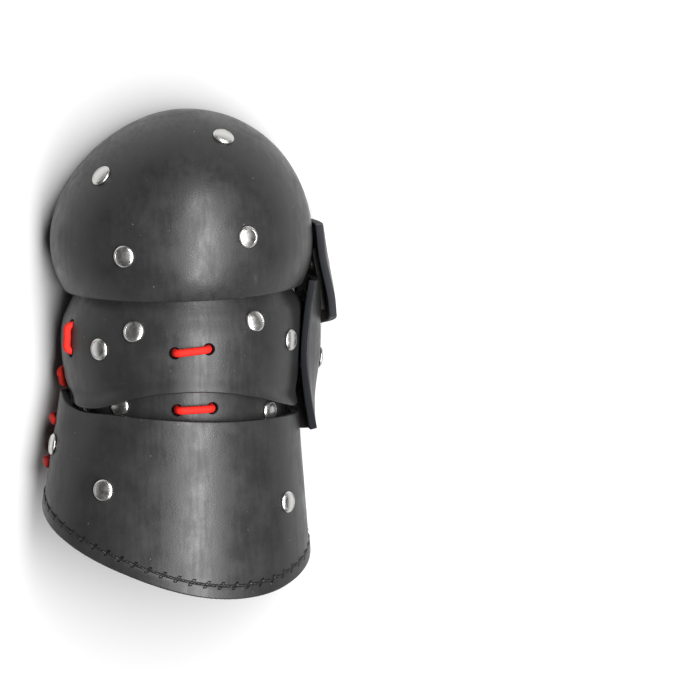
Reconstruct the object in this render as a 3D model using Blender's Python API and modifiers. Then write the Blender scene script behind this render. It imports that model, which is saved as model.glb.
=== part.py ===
"""Left-hand fencing gauntlet of black leather lames, riveted to inner straps and laced with elastic.

It lies palm down: +Z is the back of the hand, +Y the fingers, -Y the forearm, +X the thumb.
Sizes are in millimetres and become metres where meshes are made.
Angles go round a plate's section from the middle of the back, positive towards the thumb.
"""
import math
from collections import namedtuple

import bmesh
import bpy
from mathutils import Matrix, Vector

MM = 0.001

# Leather, gaps and fastenings
PLATE_WALL = 4.0
LAME_WALL = 3.0
STRAP_WALL = 2.5
STRAP_WIDTH = 14.0
STRAP_END = 8.0
SEAT_GAP = 0.35
STRAP_GAP = 0.7
STRAP_BEND_CLEAR = 6.6
RIBBON_SLACK = 0.75
RIVET_HEAD_RADIUS = 5.6
RIVET_HEAD_HEIGHT = 1.5
RIVET_FLAT_RADIUS = 4.2
RIVET_SHANK_RADIUS = 1.9
RIVET_TAIL_RADIUS = 3.6
RIVET_TAIL_HEIGHT = 0.9
RIVET_HOLE_PLAY = 0.3
RIVET_SIDES = 10
CORD_DIAMETER = 4.0
CORD_HOLE_RADIUS = 3.6
CORD_LIFT = 0.6

# Finger dome: a sphere, a little shorter towards the wrist, cut by the rim plane and the floor
DOME_RADIUS = 68.6
DOME_BACK_RADIUS = 57.0
DOME_CENTRE_X = -4.0
DOME_CENTRE_Y = 58.3
DOME_CENTRE_Z = 18.0
DOME_RIM_BACK = 24.0
DOME_RIM_SLANT = math.radians(1.7)
DOME_SHOULDER_SHIFT = 3.0
DOME_PINKY_SLOPE = 0.12
DOME_SEGMENTS = 36
DOME_RINGS = 20

# Hand plate: a barrel tucked under the dome's rim, with an arched and rolled wrist edge
HAND_RADIUS = 63.4
HAND_CENTRE_X = -3.7
HAND_TUCK = 10.0
HAND_WRIST_EDGE_Y = -12.4
HAND_ARCH_DROP = 12.4
HAND_PINKY_ANGLE = -104.0
HAND_THUMB_ANGLE = 71.0
HAND_WING_ANGLE = 15.0
HAND_WING_LENGTH = 24.0
HAND_LIP_FLARE = 3.8
HAND_LIP_LENGTH = 9.0
HAND_LENGTH = 70.0

# Wrist lame: a narrow band that lies inside both the hand plate and the cuff's rim
LAME_HAND_STEP = 8.9
LAME_CUFF_STEP = 8.5
LAME_FRONT_Y = -7.0
LAME_BACK_Y = -42.0
LAME_PINKY_ANGLE = -86.0
LAME_THUMB_ANGLE = 80.0

# Cuff: a flared tube with a slit on the little-finger side and a slanting hem
CUFF_FRONT_Y = -26.3
CUFF_RIM_STEP = 6.8
CUFF_LENGTH = 92.0
CUFF_CENTRE_X = -6.5
CUFF_LEAN = 0.035
CUFF_AXIS_Z = 24.0
CUFF_RIM_HALF_WIDTH = 63.0
CUFF_HEM_HALF_WIDTH = 74.1
CUFF_RIM_RISE = 54.0
CUFF_HEM_RISE = 62.0
CUFF_FLATNESS = 0.8
CUFF_SLIT_ANGLE = -114.0
CUFF_SLIT_HALF_ANGLE = 7.0
CUFF_DENT = 3.0
CUFF_DENT_ANGLE = -60.0
CUFF_DENT_SPREAD = 20.0
CUFF_DENT_LENGTH = 40.0

# Thumb plates: two upright lames beside the hand, the tip lame outside the base lame
THUMB_FLOOR_GAP = 3.0
THUMB_WIDEST_Z = 20.0
THUMB_BASE_SLANT = 4.6
THUMB_TIP_SLANT = 8.0
THUMB_RIVET_Y = -5.0
THUMB_RIVET_SHARE = 0.62
TIP_RIVET_Y = 45.0
LAP_RIVET_Y = 28.5
TIP_RIVET_SHARE = 0.78
LAP_GAP = 0.6
LAP_SLACK = 1.8

# Radius of the hand plate along its length: place from the fingers' end, share of HAND_RADIUS at the
# back and the little finger, and at the thumb
HAND_PROFILE = [
    {"along": 0.00, "radius": 0.872, "thumb": 0.880},
    {"along": 0.17, "radius": 0.880, "thumb": 0.915},
    {"along": 0.27, "radius": 0.928, "thumb": 0.990},
    {"along": 0.40, "radius": 0.985, "thumb": 1.000},
    {"along": 0.57, "radius": 1.000, "thumb": 1.000},
    {"along": 0.81, "radius": 0.975, "thumb": 0.975},
    {"along": 1.00, "radius": 0.932, "thumb": 0.932},
]

# Wrist edge of the hand plate: angle round the section, set-back as a share of HAND_ARCH_DROP,
# and how far its lip rolls out as a share of HAND_LIP_FLARE
HAND_ARCH = [
    {"angle": -104.0, "drop": 0.55, "lip": -0.30},
    {"angle": -88.0, "drop": 0.75, "lip": -0.30},
    {"angle": -78.0, "drop": 0.88, "lip": 0.10},
    {"angle": -66.0, "drop": 0.98, "lip": 1.1},
    {"angle": -50.0, "drop": 0.86, "lip": 1.1},
    {"angle": -35.0, "drop": 0.44, "lip": 0.8},
    {"angle": -18.0, "drop": 0.09, "lip": 0.65},
    {"angle": 5.0, "drop": 0.00, "lip": 0.6},
    {"angle": 30.0, "drop": 0.36, "lip": 0.7},
    {"angle": 45.0, "drop": 0.75, "lip": 0.9},
    {"angle": 62.0, "drop": 1.10, "lip": 0.9},
    {"angle": 71.0, "drop": 1.15, "lip": 0.7},
]

# Hand edge of the cuff: angle round the section, place ahead of the front as a share of the step
CUFF_RIM = [
    {"angle": -107.0, "ahead": 1.00},
    {"angle": -90.0, "ahead": 0.95},
    {"angle": -77.0, "ahead": 0.32},
    {"angle": -66.0, "ahead": 0.05},
    {"angle": -55.0, "ahead": 0.05},
    {"angle": -40.0, "ahead": 0.15},
    {"angle": -15.0, "ahead": 0.00},
    {"angle": 5.0, "ahead": -0.19},
    {"angle": 30.0, "ahead": -0.38},
    {"angle": 60.0, "ahead": -0.52},
    {"angle": 90.0, "ahead": -0.75},
    {"angle": 135.0, "ahead": -0.60},
    {"angle": 180.0, "ahead": -0.30},
    {"angle": 225.0, "ahead": 0.40},
    {"angle": 239.0, "ahead": 0.80},
]

# Hem of the cuff: angle round the section, distance below the front as a share of CUFF_LENGTH
CUFF_HEM = [
    {"angle": -107.0, "down": 0.530},
    {"angle": -90.0, "down": 0.592},
    {"angle": -60.0, "down": 0.715},
    {"angle": -30.0, "down": 0.848},
    {"angle": 0.0, "down": 0.975},
    {"angle": 22.0, "down": 1.018},
    {"angle": 45.0, "down": 0.995},
    {"angle": 90.0, "down": 0.838},
    {"angle": 135.0, "down": 0.610},
    {"angle": 180.0, "down": 0.470},
    {"angle": 215.0, "down": 0.450},
    {"angle": 239.0, "down": 0.500},
]

# Thumb lames from the fingers' end: y, how far the row follows the dome's side instead of the hand
# plate's, how far beyond that side the cut upper edge and the widest line lie, the edge's z, and how
# far the lower edge tucks in under the hand
THUMB_BASE_ROWS = [
    {"y": 38.5, "dome": 1.00, "edge": -0.7, "edge_z": 40.0, "widest": 3.6, "tuck": 4.6},
    {"y": 24.0, "dome": 0.55, "edge": -2.2, "edge_z": 47.0, "widest": 6.8, "tuck": 6.8},
    {"y": 0.0, "dome": 0.00, "edge": -1.9, "edge_z": 50.0, "widest": 9.7, "tuck": 7.5},
    {"y": -22.0, "dome": 0.00, "edge": 1.3, "edge_z": 44.0, "widest": 6.9, "tuck": 7.5},
    {"y": -41.0, "dome": 0.00, "edge": 6.7, "edge_z": 32.0, "widest": 7.2, "tuck": 8.0},
]
THUMB_TIP_ROWS = [
    {"y": 67.0, "dome": 1.00, "edge": 4.0, "edge_z": 32.0, "widest": 5.8, "tuck": 2.0},
    {"y": 50.0, "dome": 1.00, "edge": 5.8, "edge_z": 32.5, "widest": 8.8, "tuck": 2.8},
    {"y": 30.0, "dome": 0.73, "edge": 11.7, "edge_z": 32.5, "widest": 13.9, "tuck": 5.0},
    {"y": 18.5, "dome": 0.39, "edge": 15.0, "edge_z": 31.5, "widest": 16.4, "tuck": 6.3},
]

# Rivets through a plate and the strap behind it: angle round the section and place along the hand
RIVETS = [
    {"name": "rivet_dome_pinky_tip", "plate": "dome", "angle": -56.0, "y": 95.6, "strap": True},
    {"name": "rivet_dome_pinky_rim", "plate": "dome", "angle": -32.3, "y": 57.5, "strap": True},
    {"name": "rivet_dome_thumb_tip", "plate": "dome", "angle": 22.7, "y": 115.2, "strap": True},
    {"name": "rivet_dome_thumb_rim", "plate": "dome", "angle": 21.8, "y": 67.1, "strap": True},
    {"name": "rivet_hand_pinky", "plate": "hand", "angle": -30.7, "y": 18.5, "strap": True},
    {"name": "rivet_hand_thumb", "plate": "hand", "angle": 28.7, "y": 22.7, "strap": True},
    {"name": "rivet_hand_side", "plate": "hand", "angle": -49.0, "y": 7.9, "strap": True},
    {"name": "rivet_hand_thumb_side", "plate": "hand", "angle": 54.2, "y": 10.1, "strap": True,
     "slack": RIBBON_SLACK},
    {"name": "rivet_lame_pinky", "plate": "lame", "angle": -43.0, "y": -22.0, "strap": True},
    {"name": "rivet_lame_thumb", "plate": "lame", "angle": 48.5, "y": -27.0, "strap": True},
    {"name": "rivet_lame_side", "plate": "lame", "angle": -77.0, "y": -30.0, "strap": True},
    {"name": "rivet_cuff_pinky", "plate": "cuff", "angle": -39.5, "y": -63.7, "strap": True},
    {"name": "rivet_cuff_thumb", "plate": "cuff", "angle": 51.9, "y": -74.4, "strap": True},
    {"name": "rivet_cuff_side", "plate": "cuff", "angle": -87.0, "y": -46.9, "strap": False},
]


def smooth(a, b, value):
    """Ease from 0 at a to 1 at b."""
    share = min(1.0, max(0.0, (value - a) / (b - a)))
    return share * share * (3.0 - 2.0 * share)


def along_table(rows, key, column, value):
    """Read a column at a key with a smooth curve through the rows."""
    rows = sorted(rows, key=lambda row: row[key])
    keys = [row[key] for row in rows]
    cells = [row[column] for row in rows]
    if value <= keys[0]:
        return cells[0]
    if value >= keys[-1]:
        return cells[-1]
    last = len(keys) - 1
    slopes = []
    for i in range(last + 1):
        low, high = max(0, i - 1), min(last, i + 1)
        slopes.append((cells[high] - cells[low]) / (keys[high] - keys[low]))
    i = max(j for j in range(last) if keys[j] <= value)
    span = keys[i + 1] - keys[i]
    t = (value - keys[i]) / span
    return ((2 * t**3 - 3 * t**2 + 1) * cells[i] + (t**3 - 2 * t**2 + t) * span * slopes[i]
            + (3 * t**2 - 2 * t**3) * cells[i + 1] + (t**3 - t**2) * span * slopes[i + 1])


Section = namedtuple("Section", "centre_x centre_z pinky thumb rise depth")


def on_section(section, angle):
    """Point of a plate's section at an angle."""
    sine, cosine = math.sin(math.radians(angle)), math.cos(math.radians(angle))
    reach = section.thumb if sine >= 0.0 else section.pinky
    height = section.rise if cosine >= 0.0 else section.depth
    return section.centre_x + reach * sine, section.centre_z + height * cosine


def shrunk(section, by):
    """The section lying a distance inside another."""
    return Section(section.centre_x, section.centre_z, *(size - by for size in section[2:]))


def dome_section(y, inset=0.0):
    """Section of the dome at a place along the hand, lower towards the tip on the little-finger side."""
    ahead = y - DOME_CENTRE_Y
    reach = DOME_RADIUS - inset if ahead > 0.0 else DOME_BACK_RADIUS - inset
    radius = (DOME_RADIUS - inset) * math.sqrt(max(0.0, 1.0 - (ahead / reach) ** 2))
    tip = max(0.0, ahead / reach) ** 2
    centre_x = DOME_CENTRE_X + DOME_SHOULDER_SHIFT * tip
    pinky = radius * (1.0 - DOME_PINKY_SLOPE * tip)
    return Section(centre_x, DOME_CENTRE_Z, pinky, radius, radius, radius)


def dome_rim_y(x):
    """Wrist rim of the dome, cut a little aslant."""
    return DOME_CENTRE_Y - DOME_RIM_BACK + (x - DOME_CENTRE_X) * math.tan(DOME_RIM_SLANT)


HAND_FRONT_Y = DOME_CENTRE_Y - DOME_RIM_BACK + HAND_TUCK


def hand_edge_y(angle):
    """Arched wrist edge of the hand plate."""
    return HAND_WRIST_EDGE_Y - HAND_ARCH_DROP * along_table(HAND_ARCH, "angle", "drop", angle)


def hand_section(y):
    """Barrel section of the hand plate."""
    share = (HAND_FRONT_Y - y) / HAND_LENGTH
    radius = HAND_RADIUS * along_table(HAND_PROFILE, "along", "radius", share)
    thumb = HAND_RADIUS * along_table(HAND_PROFILE, "along", "thumb", share)
    return Section(HAND_CENTRE_X, DOME_CENTRE_Z, radius, thumb, radius, radius)


def hand_wing(angle, y):
    """Angle of the hand plate, carried further round beside the thumb at the fingers' end."""
    ahead = (y - HAND_FRONT_Y + HAND_WING_LENGTH) / HAND_WING_LENGTH
    beside = smooth(HAND_THUMB_ANGLE - 2.0 * HAND_WING_ANGLE, HAND_THUMB_ANGLE, angle)
    return angle + HAND_WING_ANGLE * smooth(0.0, 0.35, ahead) * beside


def hand_point(angle, y):
    """Outer surface of the hand plate, with its edge rolled outwards."""
    section = hand_section(y)
    roll = 1.0 - smooth(0.0, HAND_LIP_LENGTH, y - hand_edge_y(angle))
    lip = HAND_LIP_FLARE * along_table(HAND_ARCH, "angle", "lip", angle) * roll
    x, z = on_section(shrunk(section, -lip), angle)
    return Vector((x, y, z))


def lame_section(y):
    """Round section of the wrist lame, a step inside the narrower of its two neighbours."""
    radius = min(HAND_RADIUS - LAME_HAND_STEP, CUFF_RIM_HALF_WIDTH - LAME_CUFF_STEP)
    return Section(HAND_CENTRE_X, DOME_CENTRE_Z, radius, radius, radius, radius)


def cuff_section(y):
    """Section of the cuff: a wide arch over a shallow underside that lies on the floor."""
    back = CUFF_FRONT_Y - y
    share = back / CUFF_LENGTH
    half_width = CUFF_RIM_HALF_WIDTH + share * (CUFF_HEM_HALF_WIDTH - CUFF_RIM_HALF_WIDTH)
    rise = CUFF_RIM_RISE + share * (CUFF_HEM_RISE - CUFF_RIM_RISE)
    centre_x = CUFF_CENTRE_X - CUFF_LEAN * back
    return Section(centre_x, CUFF_AXIS_Z, half_width, half_width, rise, CUFF_AXIS_Z)


def cuff_on_section(section, angle):
    """Point of the cuff's section, whose underside is flatter than an ellipse."""
    sine, cosine = math.sin(math.radians(angle)), math.cos(math.radians(angle))
    if cosine >= 0.0:
        return on_section(section, angle)
    side = math.copysign(abs(sine) ** CUFF_FLATNESS, sine)
    return (section.centre_x + section.thumb * side,
            section.centre_z - section.depth * abs(cosine) ** CUFF_FLATNESS)


def cuff_rim_y(angle):
    """Hand edge of the cuff."""
    return CUFF_FRONT_Y + CUFF_RIM_STEP * along_table(CUFF_RIM, "angle", "ahead", angle)


def cuff_point(angle, y):
    """Outer surface of the cuff, pressed in beside the corner of the hand plate."""
    x, z = cuff_on_section(cuff_section(y), angle)
    around = math.exp(-((angle - CUFF_DENT_ANGLE) / CUFF_DENT_SPREAD) ** 2)
    dent = CUFF_DENT * around * smooth(-CUFF_DENT_LENGTH, 0.0, y - cuff_rim_y(angle))
    turn = math.radians(angle)
    return Vector((x - dent * math.sin(turn), y, z - dent * math.cos(turn)))


def cuff_hem_y(angle):
    """Slanting forearm edge of the cuff."""
    return CUFF_FRONT_Y - CUFF_LENGTH * along_table(CUFF_HEM, "angle", "down", angle)


def section_surface(section_at):
    """Outer surface of a plate given by its sections."""
    def point(angle, y):
        x, z = on_section(section_at(y), angle)
        return Vector((x, y, z))
    return point


def thumb_point(rows, y, share):
    """Outer surface of a thumb lame, from the cut upper edge down to the floor side."""
    hand_side = HAND_CENTRE_X + HAND_RADIUS
    dome_side = DOME_CENTRE_X + DOME_RADIUS
    side = hand_side + (dome_side - hand_side) * along_table(rows, "y", "dome", y)
    edge_x = side + along_table(rows, "y", "edge", y)
    edge_z = along_table(rows, "y", "edge_z", y)
    widest_x = side + along_table(rows, "y", "widest", y)
    tuck = along_table(rows, "y", "tuck", y)
    z = edge_z + (THUMB_FLOOR_GAP - edge_z) * share
    if z >= THUMB_WIDEST_Z:
        turn = (edge_z - z) / (edge_z - THUMB_WIDEST_Z)
        x = edge_x + (widest_x - edge_x) * math.sin(turn * math.pi / 2.0)
    else:
        turn = (THUMB_WIDEST_Z - z) / (THUMB_WIDEST_Z - THUMB_FLOOR_GAP)
        x = widest_x - tuck * turn * turn
    return Vector((x, y, z))


SURFACES = {
    "dome": section_surface(dome_section),
    "hand": hand_point,
    "lame": section_surface(lame_section),
    "cuff": cuff_point,
}
SECTIONS = {"dome": dome_section, "hand": hand_section, "lame": lame_section, "cuff": cuff_section}
WALLS = {"dome": PLATE_WALL, "hand": PLATE_WALL, "lame": LAME_WALL, "cuff": PLATE_WALL}


def outward(surface, angle, y):
    """Unit normal of a plate's outer surface."""
    step_angle, step_y = 0.5, 0.5
    round_way = surface(angle + step_angle, y) - surface(angle - step_angle, y)
    along_way = surface(angle, y + step_y) - surface(angle, y - step_y)
    return round_way.cross(along_way).normalized()


for item in list(bpy.data.objects):
    bpy.data.objects.remove(item, do_unlink=True)

gauntlet = bpy.data.collections.new("fencing_gauntlet")
cutters = bpy.data.collections.new("cutters")
bpy.context.scene.collection.children.link(gauntlet)
bpy.context.scene.collection.children.link(cutters)

base = bpy.data.objects.new("gauntlet_base", None)
gauntlet.objects.link(base)


def material(name, colour, roughness, metallic=0.0):
    """A Principled material."""
    made = bpy.data.materials.new(name)
    made.use_nodes = True
    shader = made.node_tree.nodes["Principled BSDF"]
    shader.inputs["Base Color"].default_value = (*colour, 1.0)
    shader.inputs["Roughness"].default_value = roughness
    shader.inputs["Metallic"].default_value = metallic
    return made


MATERIALS = {
    "plate_leather": material("black_plate_leather", (0.035, 0.035, 0.037), 0.45),
    "strap_leather": material("black_strap_leather", (0.025, 0.023, 0.022), 0.7),
    "nickel": material("nickel_rivet", (0.72, 0.72, 0.70), 0.25, 1.0),
    "elastic": material("red_elastic", (0.85, 0.05, 0.02), 0.6),
}


def new_object(name, mesh, look, parent=base):
    """Put a mesh in the gauntlet's collection with one material."""
    thing = bpy.data.objects.new(name, mesh)
    mesh.materials.append(MATERIALS[look])
    gauntlet.objects.link(thing)
    thing.parent = parent
    return thing


def grid_mesh(name, columns, rows, point):
    """Open surface from a function of two shares; its faces look outwards."""
    bm = bmesh.new()
    table = [[bm.verts.new(point(i / columns, j / rows) * MM) for i in range(columns + 1)]
             for j in range(rows + 1)]
    for j in range(rows):
        for i in range(columns):
            bm.faces.new((table[j][i], table[j + 1][i], table[j + 1][i + 1], table[j][i + 1]))
    mesh = bpy.data.meshes.new(name)
    bm.to_mesh(mesh)
    bm.free()
    mesh.shade_smooth()
    return mesh


def add_wall(thing, wall):
    """Thicken an open surface inwards."""
    solid = thing.modifiers.new("wall", "SOLIDIFY")
    solid.thickness = wall * MM
    solid.offset = -1.0
    solid.use_even_offset = True


def cut(thing, cutter):
    """Take a cutter's shape out of a piece."""
    if cutter.name not in cutters.objects:
        cutters.objects.link(cutter)
    cutter.hide_render = True
    cutter.display_type = "WIRE"
    cutter.parent = base
    bite = thing.modifiers.new("cut_" + cutter.name, "BOOLEAN")
    bite.operation = "DIFFERENCE"
    bite.solver = "EXACT"
    bite.object = cutter


def box_cutter(name, size, place, turn=0.0):
    """Box-shaped cutter, turned about the vertical."""
    bm = bmesh.new()
    bmesh.ops.create_cube(bm, size=1.0)
    bmesh.ops.scale(bm, vec=Vector(size) * MM, verts=bm.verts)
    mesh = bpy.data.meshes.new(name)
    bm.to_mesh(mesh)
    bm.free()
    thing = bpy.data.objects.new(name, mesh)
    thing.location = Vector(place) * MM
    thing.rotation_euler.z = turn
    return thing


def hole_cutter(name, place, normal, radius, depth):
    """Round cutter through a wall, along its normal."""
    bm = bmesh.new()
    bmesh.ops.create_cone(bm, cap_ends=True, segments=RIVET_SIDES, radius1=radius * MM,
                          radius2=radius * MM, depth=2.0 * depth * MM)
    mesh = bpy.data.meshes.new(name)
    bm.to_mesh(mesh)
    bm.free()
    thing = bpy.data.objects.new(name, mesh)
    thing.location = place * MM
    thing.rotation_mode = "QUATERNION"
    thing.rotation_quaternion = normal.to_track_quat("Z", "Y")
    return thing


def make_dome():
    """Sphere with its poles on the fingers' line, walled, then cut at the floor and the rim."""
    bm = bmesh.new()
    bmesh.ops.create_uvsphere(bm, u_segments=DOME_SEGMENTS, v_segments=DOME_RINGS, radius=DOME_RADIUS,
                              matrix=Matrix.Rotation(math.pi / 2.0, 4, "X"))
    for vert in bm.verts:
        ahead = vert.co.y if vert.co.y > 0.0 else vert.co.y * DOME_BACK_RADIUS / DOME_RADIUS
        y = DOME_CENTRE_Y + ahead
        angle = math.degrees(math.atan2(vert.co.x, vert.co.z))
        x, z = on_section(dome_section(y), angle)
        vert.co = Vector((x, y, z)) * MM
    mesh = bpy.data.meshes.new("finger_dome")
    bm.to_mesh(mesh)
    bm.free()
    mesh.shade_smooth()
    dome = new_object("finger_dome", mesh, "plate_leather")
    add_wall(dome, PLATE_WALL)
    block = 4.0 * DOME_RADIUS
    cut(dome, box_cutter("dome_floor", (block, block, block), (0.0, DOME_CENTRE_Y, -block / 2.0)))
    rim = box_cutter("dome_rim", (block, block, block), (0.0, 0.0, 0.0), DOME_RIM_SLANT)
    back = Vector((math.sin(DOME_RIM_SLANT), -math.cos(DOME_RIM_SLANT), 0.0)) * (block / 2.0)
    rim.location = (Vector((DOME_CENTRE_X, dome_rim_y(DOME_CENTRE_X), 0.0)) + back) * MM
    cut(dome, rim)
    return dome


def make_hand_plate():
    """Barrel plate over the back of the hand."""
    span = HAND_THUMB_ANGLE - HAND_PINKY_ANGLE

    def point(across, down):
        angle = HAND_PINKY_ANGLE + span * across
        edge = hand_edge_y(angle)
        eased = down + 0.25 * down * (1.0 - down)
        y = HAND_FRONT_Y + (edge - HAND_FRONT_Y) * eased
        return hand_point(hand_wing(angle, y), y)

    plate = new_object("hand_plate", grid_mesh("hand_plate", 28, 9, point), "plate_leather")
    add_wall(plate, PLATE_WALL)
    return plate


def make_lame():
    """Narrow band under the hand plate and inside the cuff."""
    span = LAME_THUMB_ANGLE - LAME_PINKY_ANGLE

    def point(across, down):
        angle = LAME_PINKY_ANGLE + span * across
        return SURFACES["lame"](angle, LAME_FRONT_Y + (LAME_BACK_Y - LAME_FRONT_Y) * down)

    lame = new_object("wrist_lame", grid_mesh("wrist_lame", 26, 4, point), "plate_leather")
    add_wall(lame, LAME_WALL)
    return lame


def make_cuff():
    """Flared tube, open at the slit."""
    start = CUFF_SLIT_ANGLE + CUFF_SLIT_HALF_ANGLE
    span = 360.0 - 2.0 * CUFF_SLIT_HALF_ANGLE

    def point(across, down):
        angle = start + span * across
        rim = cuff_rim_y(angle)
        return SURFACES["cuff"](angle, rim + (cuff_hem_y(angle) - rim) * down)

    cuff = new_object("cuff", grid_mesh("cuff", 50, 6, point), "plate_leather")
    add_wall(cuff, PLATE_WALL)
    return cuff


def make_thumb_lame(name, rows, lines, slant):
    """Upright curved lame beside the hand, its wrist end cut slanting."""
    first, last = rows[0]["y"], rows[-1]["y"]

    def point(across, down):
        place = thumb_point(rows, first + (last - first) * down, across)
        place.y -= slant * across * down
        return place

    lame = new_object(name, grid_mesh(name, 8, lines, point), "plate_leather")
    add_wall(lame, PLATE_WALL)
    return lame


def strap_section(plate, y):
    """Section of a strap's outer side where it lies against the inside of a plate."""
    inset = WALLS[plate] + STRAP_GAP
    if plate == "dome":
        return dome_section(y, inset)
    return shrunk(SECTIONS[plate](y), inset)


def strap_station(plate, angle, y):
    """Where a strap lies against the inside of a plate."""
    if plate == "dome":
        y = DOME_CENTRE_Y + (y - DOME_CENTRE_Y) * (1.0 - (PLATE_WALL + STRAP_GAP) / DOME_RADIUS)
    return {"y": y, "plate": plate, "angle": angle}


def strap_at(stations, y):
    """Section and angle of a strap between its stations, which run from the fingers back."""
    for front, back in zip(stations, stations[1:]):
        if y >= back["y"]:
            break
    share = min(1.0, max(0.0, (front["y"] - y) / (front["y"] - back["y"])))
    angle = front["angle"] + (back["angle"] - front["angle"]) * share
    if front["plate"] == back["plate"]:
        return strap_section(front["plate"], y), angle
    eased = smooth(0.0, 1.0, share)
    ahead = strap_section(front["plate"], front["y"])
    behind = strap_section(back["plate"], back["y"])
    return Section(*(a + (b - a) * eased for a, b in zip(ahead, behind))), angle


def make_strap(name, stations, lines):
    """Leather strap that lies under the plates through its stations."""
    first, last = stations[0]["y"], stations[-1]["y"]

    def point(across, down):
        y = first + (last - first) * down
        section, angle = strap_at(stations, y)
        half = math.degrees(STRAP_WIDTH / 2.0 / section.rise)
        x, z = on_section(section, angle + half * (2.0 * across - 1.0))
        return Vector((x, y, z))

    strap = new_object(name, grid_mesh(name, 2, lines, point), "strap_leather")
    add_wall(strap, STRAP_WALL)
    return strap


RIVET = {row["name"]: row for row in RIVETS}


def rivet_station(name, shift=0.0):
    """Strap station at a rivet, or a little before or behind it."""
    row = RIVET[name]
    return strap_station(row["plate"], row["angle"], row["y"] + shift)


def dome_strap_end(name):
    """Station at the fingers' end of a strap, a little past its last rivet round the dome."""
    row = RIVET[name]
    rise = math.asin((row["y"] - DOME_CENTRE_Y) / DOME_RADIUS) + STRAP_END / DOME_RADIUS
    return strap_station("dome", row["angle"], DOME_CENTRE_Y + DOME_RADIUS * math.sin(rise))


def main_strap(name, tip, rim, hand, lame, cuff):
    """Long strap from the dome to the cuff, through five rivets."""
    angle = RIVET[hand]["angle"]
    bend = 0.5 * (RIVET[rim]["angle"] + angle)
    stations = [
        dome_strap_end(tip),
        rivet_station(tip),
        rivet_station(rim),
        rivet_station(rim, -STRAP_BEND_CLEAR),
        strap_station("hand", bend, HAND_FRONT_Y + 2.0),
        rivet_station(hand),
        rivet_station(hand, -STRAP_BEND_CLEAR),
        strap_station("lame", RIVET[lame]["angle"], LAME_FRONT_Y + 1.0),
        rivet_station(lame),
        strap_station("lame", RIVET[lame]["angle"], LAME_BACK_Y - 1.0),
        strap_station("cuff", RIVET[cuff]["angle"], RIVET[cuff]["y"] + STRAP_BEND_CLEAR),
        rivet_station(cuff, -STRAP_END),
    ]
    return make_strap(name, stations, 32)


def side_strap(name, hand, lame):
    """Short strap from the hand plate's side to the end of the wrist lame."""
    middle = 0.5 * (RIVET[hand]["angle"] + RIVET[lame]["angle"])
    stations = [
        rivet_station(hand, STRAP_END),
        rivet_station(hand, -STRAP_BEND_CLEAR),
        strap_station("lame", middle, LAME_FRONT_Y + 1.0),
        rivet_station(lame),
        rivet_station(lame, -STRAP_END),
    ]
    return make_strap(name, stations, 14)


def make_rivet(name, place, normal, grip):
    """Capped rivet: bevelled flat head, shank and tail, turned from one profile."""
    lift = SEAT_GAP
    deep = -(grip + STRAP_GAP)
    profile = [
        (0.0, lift + RIVET_HEAD_HEIGHT),
        (RIVET_FLAT_RADIUS, lift + RIVET_HEAD_HEIGHT),
        (RIVET_HEAD_RADIUS, lift + 0.4 * RIVET_HEAD_HEIGHT),
        (RIVET_HEAD_RADIUS, lift),
        (RIVET_SHANK_RADIUS, lift),
        (RIVET_SHANK_RADIUS, deep),
        (RIVET_TAIL_RADIUS, deep),
        (RIVET_TAIL_RADIUS, deep - RIVET_TAIL_HEIGHT),
        (0.0, deep - RIVET_TAIL_HEIGHT),
    ]
    mesh = bpy.data.meshes.new(name)
    mesh.from_pydata([(r * MM, 0.0, z * MM) for r, z in profile],
                     [(i, i + 1) for i in range(len(profile) - 1)], [])
    rivet = new_object(name, mesh, "nickel")
    rivet.location = place * MM
    rivet.rotation_mode = "QUATERNION"
    rivet.rotation_quaternion = normal.to_track_quat("Z", "Y")
    turn = rivet.modifiers.new("turn", "SCREW")
    turn.steps = RIVET_SIDES
    turn.render_steps = RIVET_SIDES
    turn.use_merge_vertices = True
    turn.merge_threshold = 0.00001
    return rivet


def set_rivet(name, place, normal, grip, pieces):
    """Set one rivet through its pieces and drill them."""
    make_rivet(name, place, normal, grip)
    hole = hole_cutter("hole_" + name, place, normal, RIVET_SHANK_RADIUS + RIVET_HOLE_PLAY, grip + 2.0)
    for piece in pieces:
        cut(piece, hole)


def rivet_plate(plates, row, straps):
    """Rivet a plate to the strap behind it."""
    surface = SURFACES[row["plate"]]
    grip = WALLS[row["plate"]] + row.get("slack", 0.0)
    pieces = [plates[row["plate"]]]
    if row["strap"]:
        grip += STRAP_GAP + STRAP_WALL
        pieces.append(straps[row["name"]])
    set_rivet(row["name"], surface(row["angle"], row["y"]), outward(surface, row["angle"], row["y"]),
              grip, pieces)


def loop_curve(points, samples):
    """Closed smooth curve through a loop's own points."""
    count = len(points)
    route = []
    for i in range(count):
        p0, p1, p2, p3 = (points[(i + k - 1) % count] for k in range(4))
        for step in range(samples):
            t = step / samples
            route.append(0.5 * ((2.0 * p1) + (p2 - p0) * t + (2.0 * p0 - 5.0 * p1 + 4.0 * p2 - p3) * t * t
                                + (3.0 * p1 - p0 - 3.0 * p2 + p3) * t ** 3))
    return route


def make_cord(name, points, samples=2):
    """Closed loop of round elastic."""
    curve = bpy.data.curves.new(name, "CURVE")
    curve.dimensions = "3D"
    curve.bevel_depth = CORD_DIAMETER / 2.0 * MM
    curve.bevel_resolution = 2
    spline = curve.splines.new("POLY")
    route = loop_curve(points, samples)
    spline.points.add(len(route) - 1)
    for knot, place in zip(spline.points, route):
        knot.co = (*(place * MM), 1.0)
    spline.use_cyclic_u = True
    cord = bpy.data.objects.new(name, curve)
    curve.materials.append(MATERIALS["elastic"])
    gauntlet.objects.link(cord)
    cord.parent = base
    return cord


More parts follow.
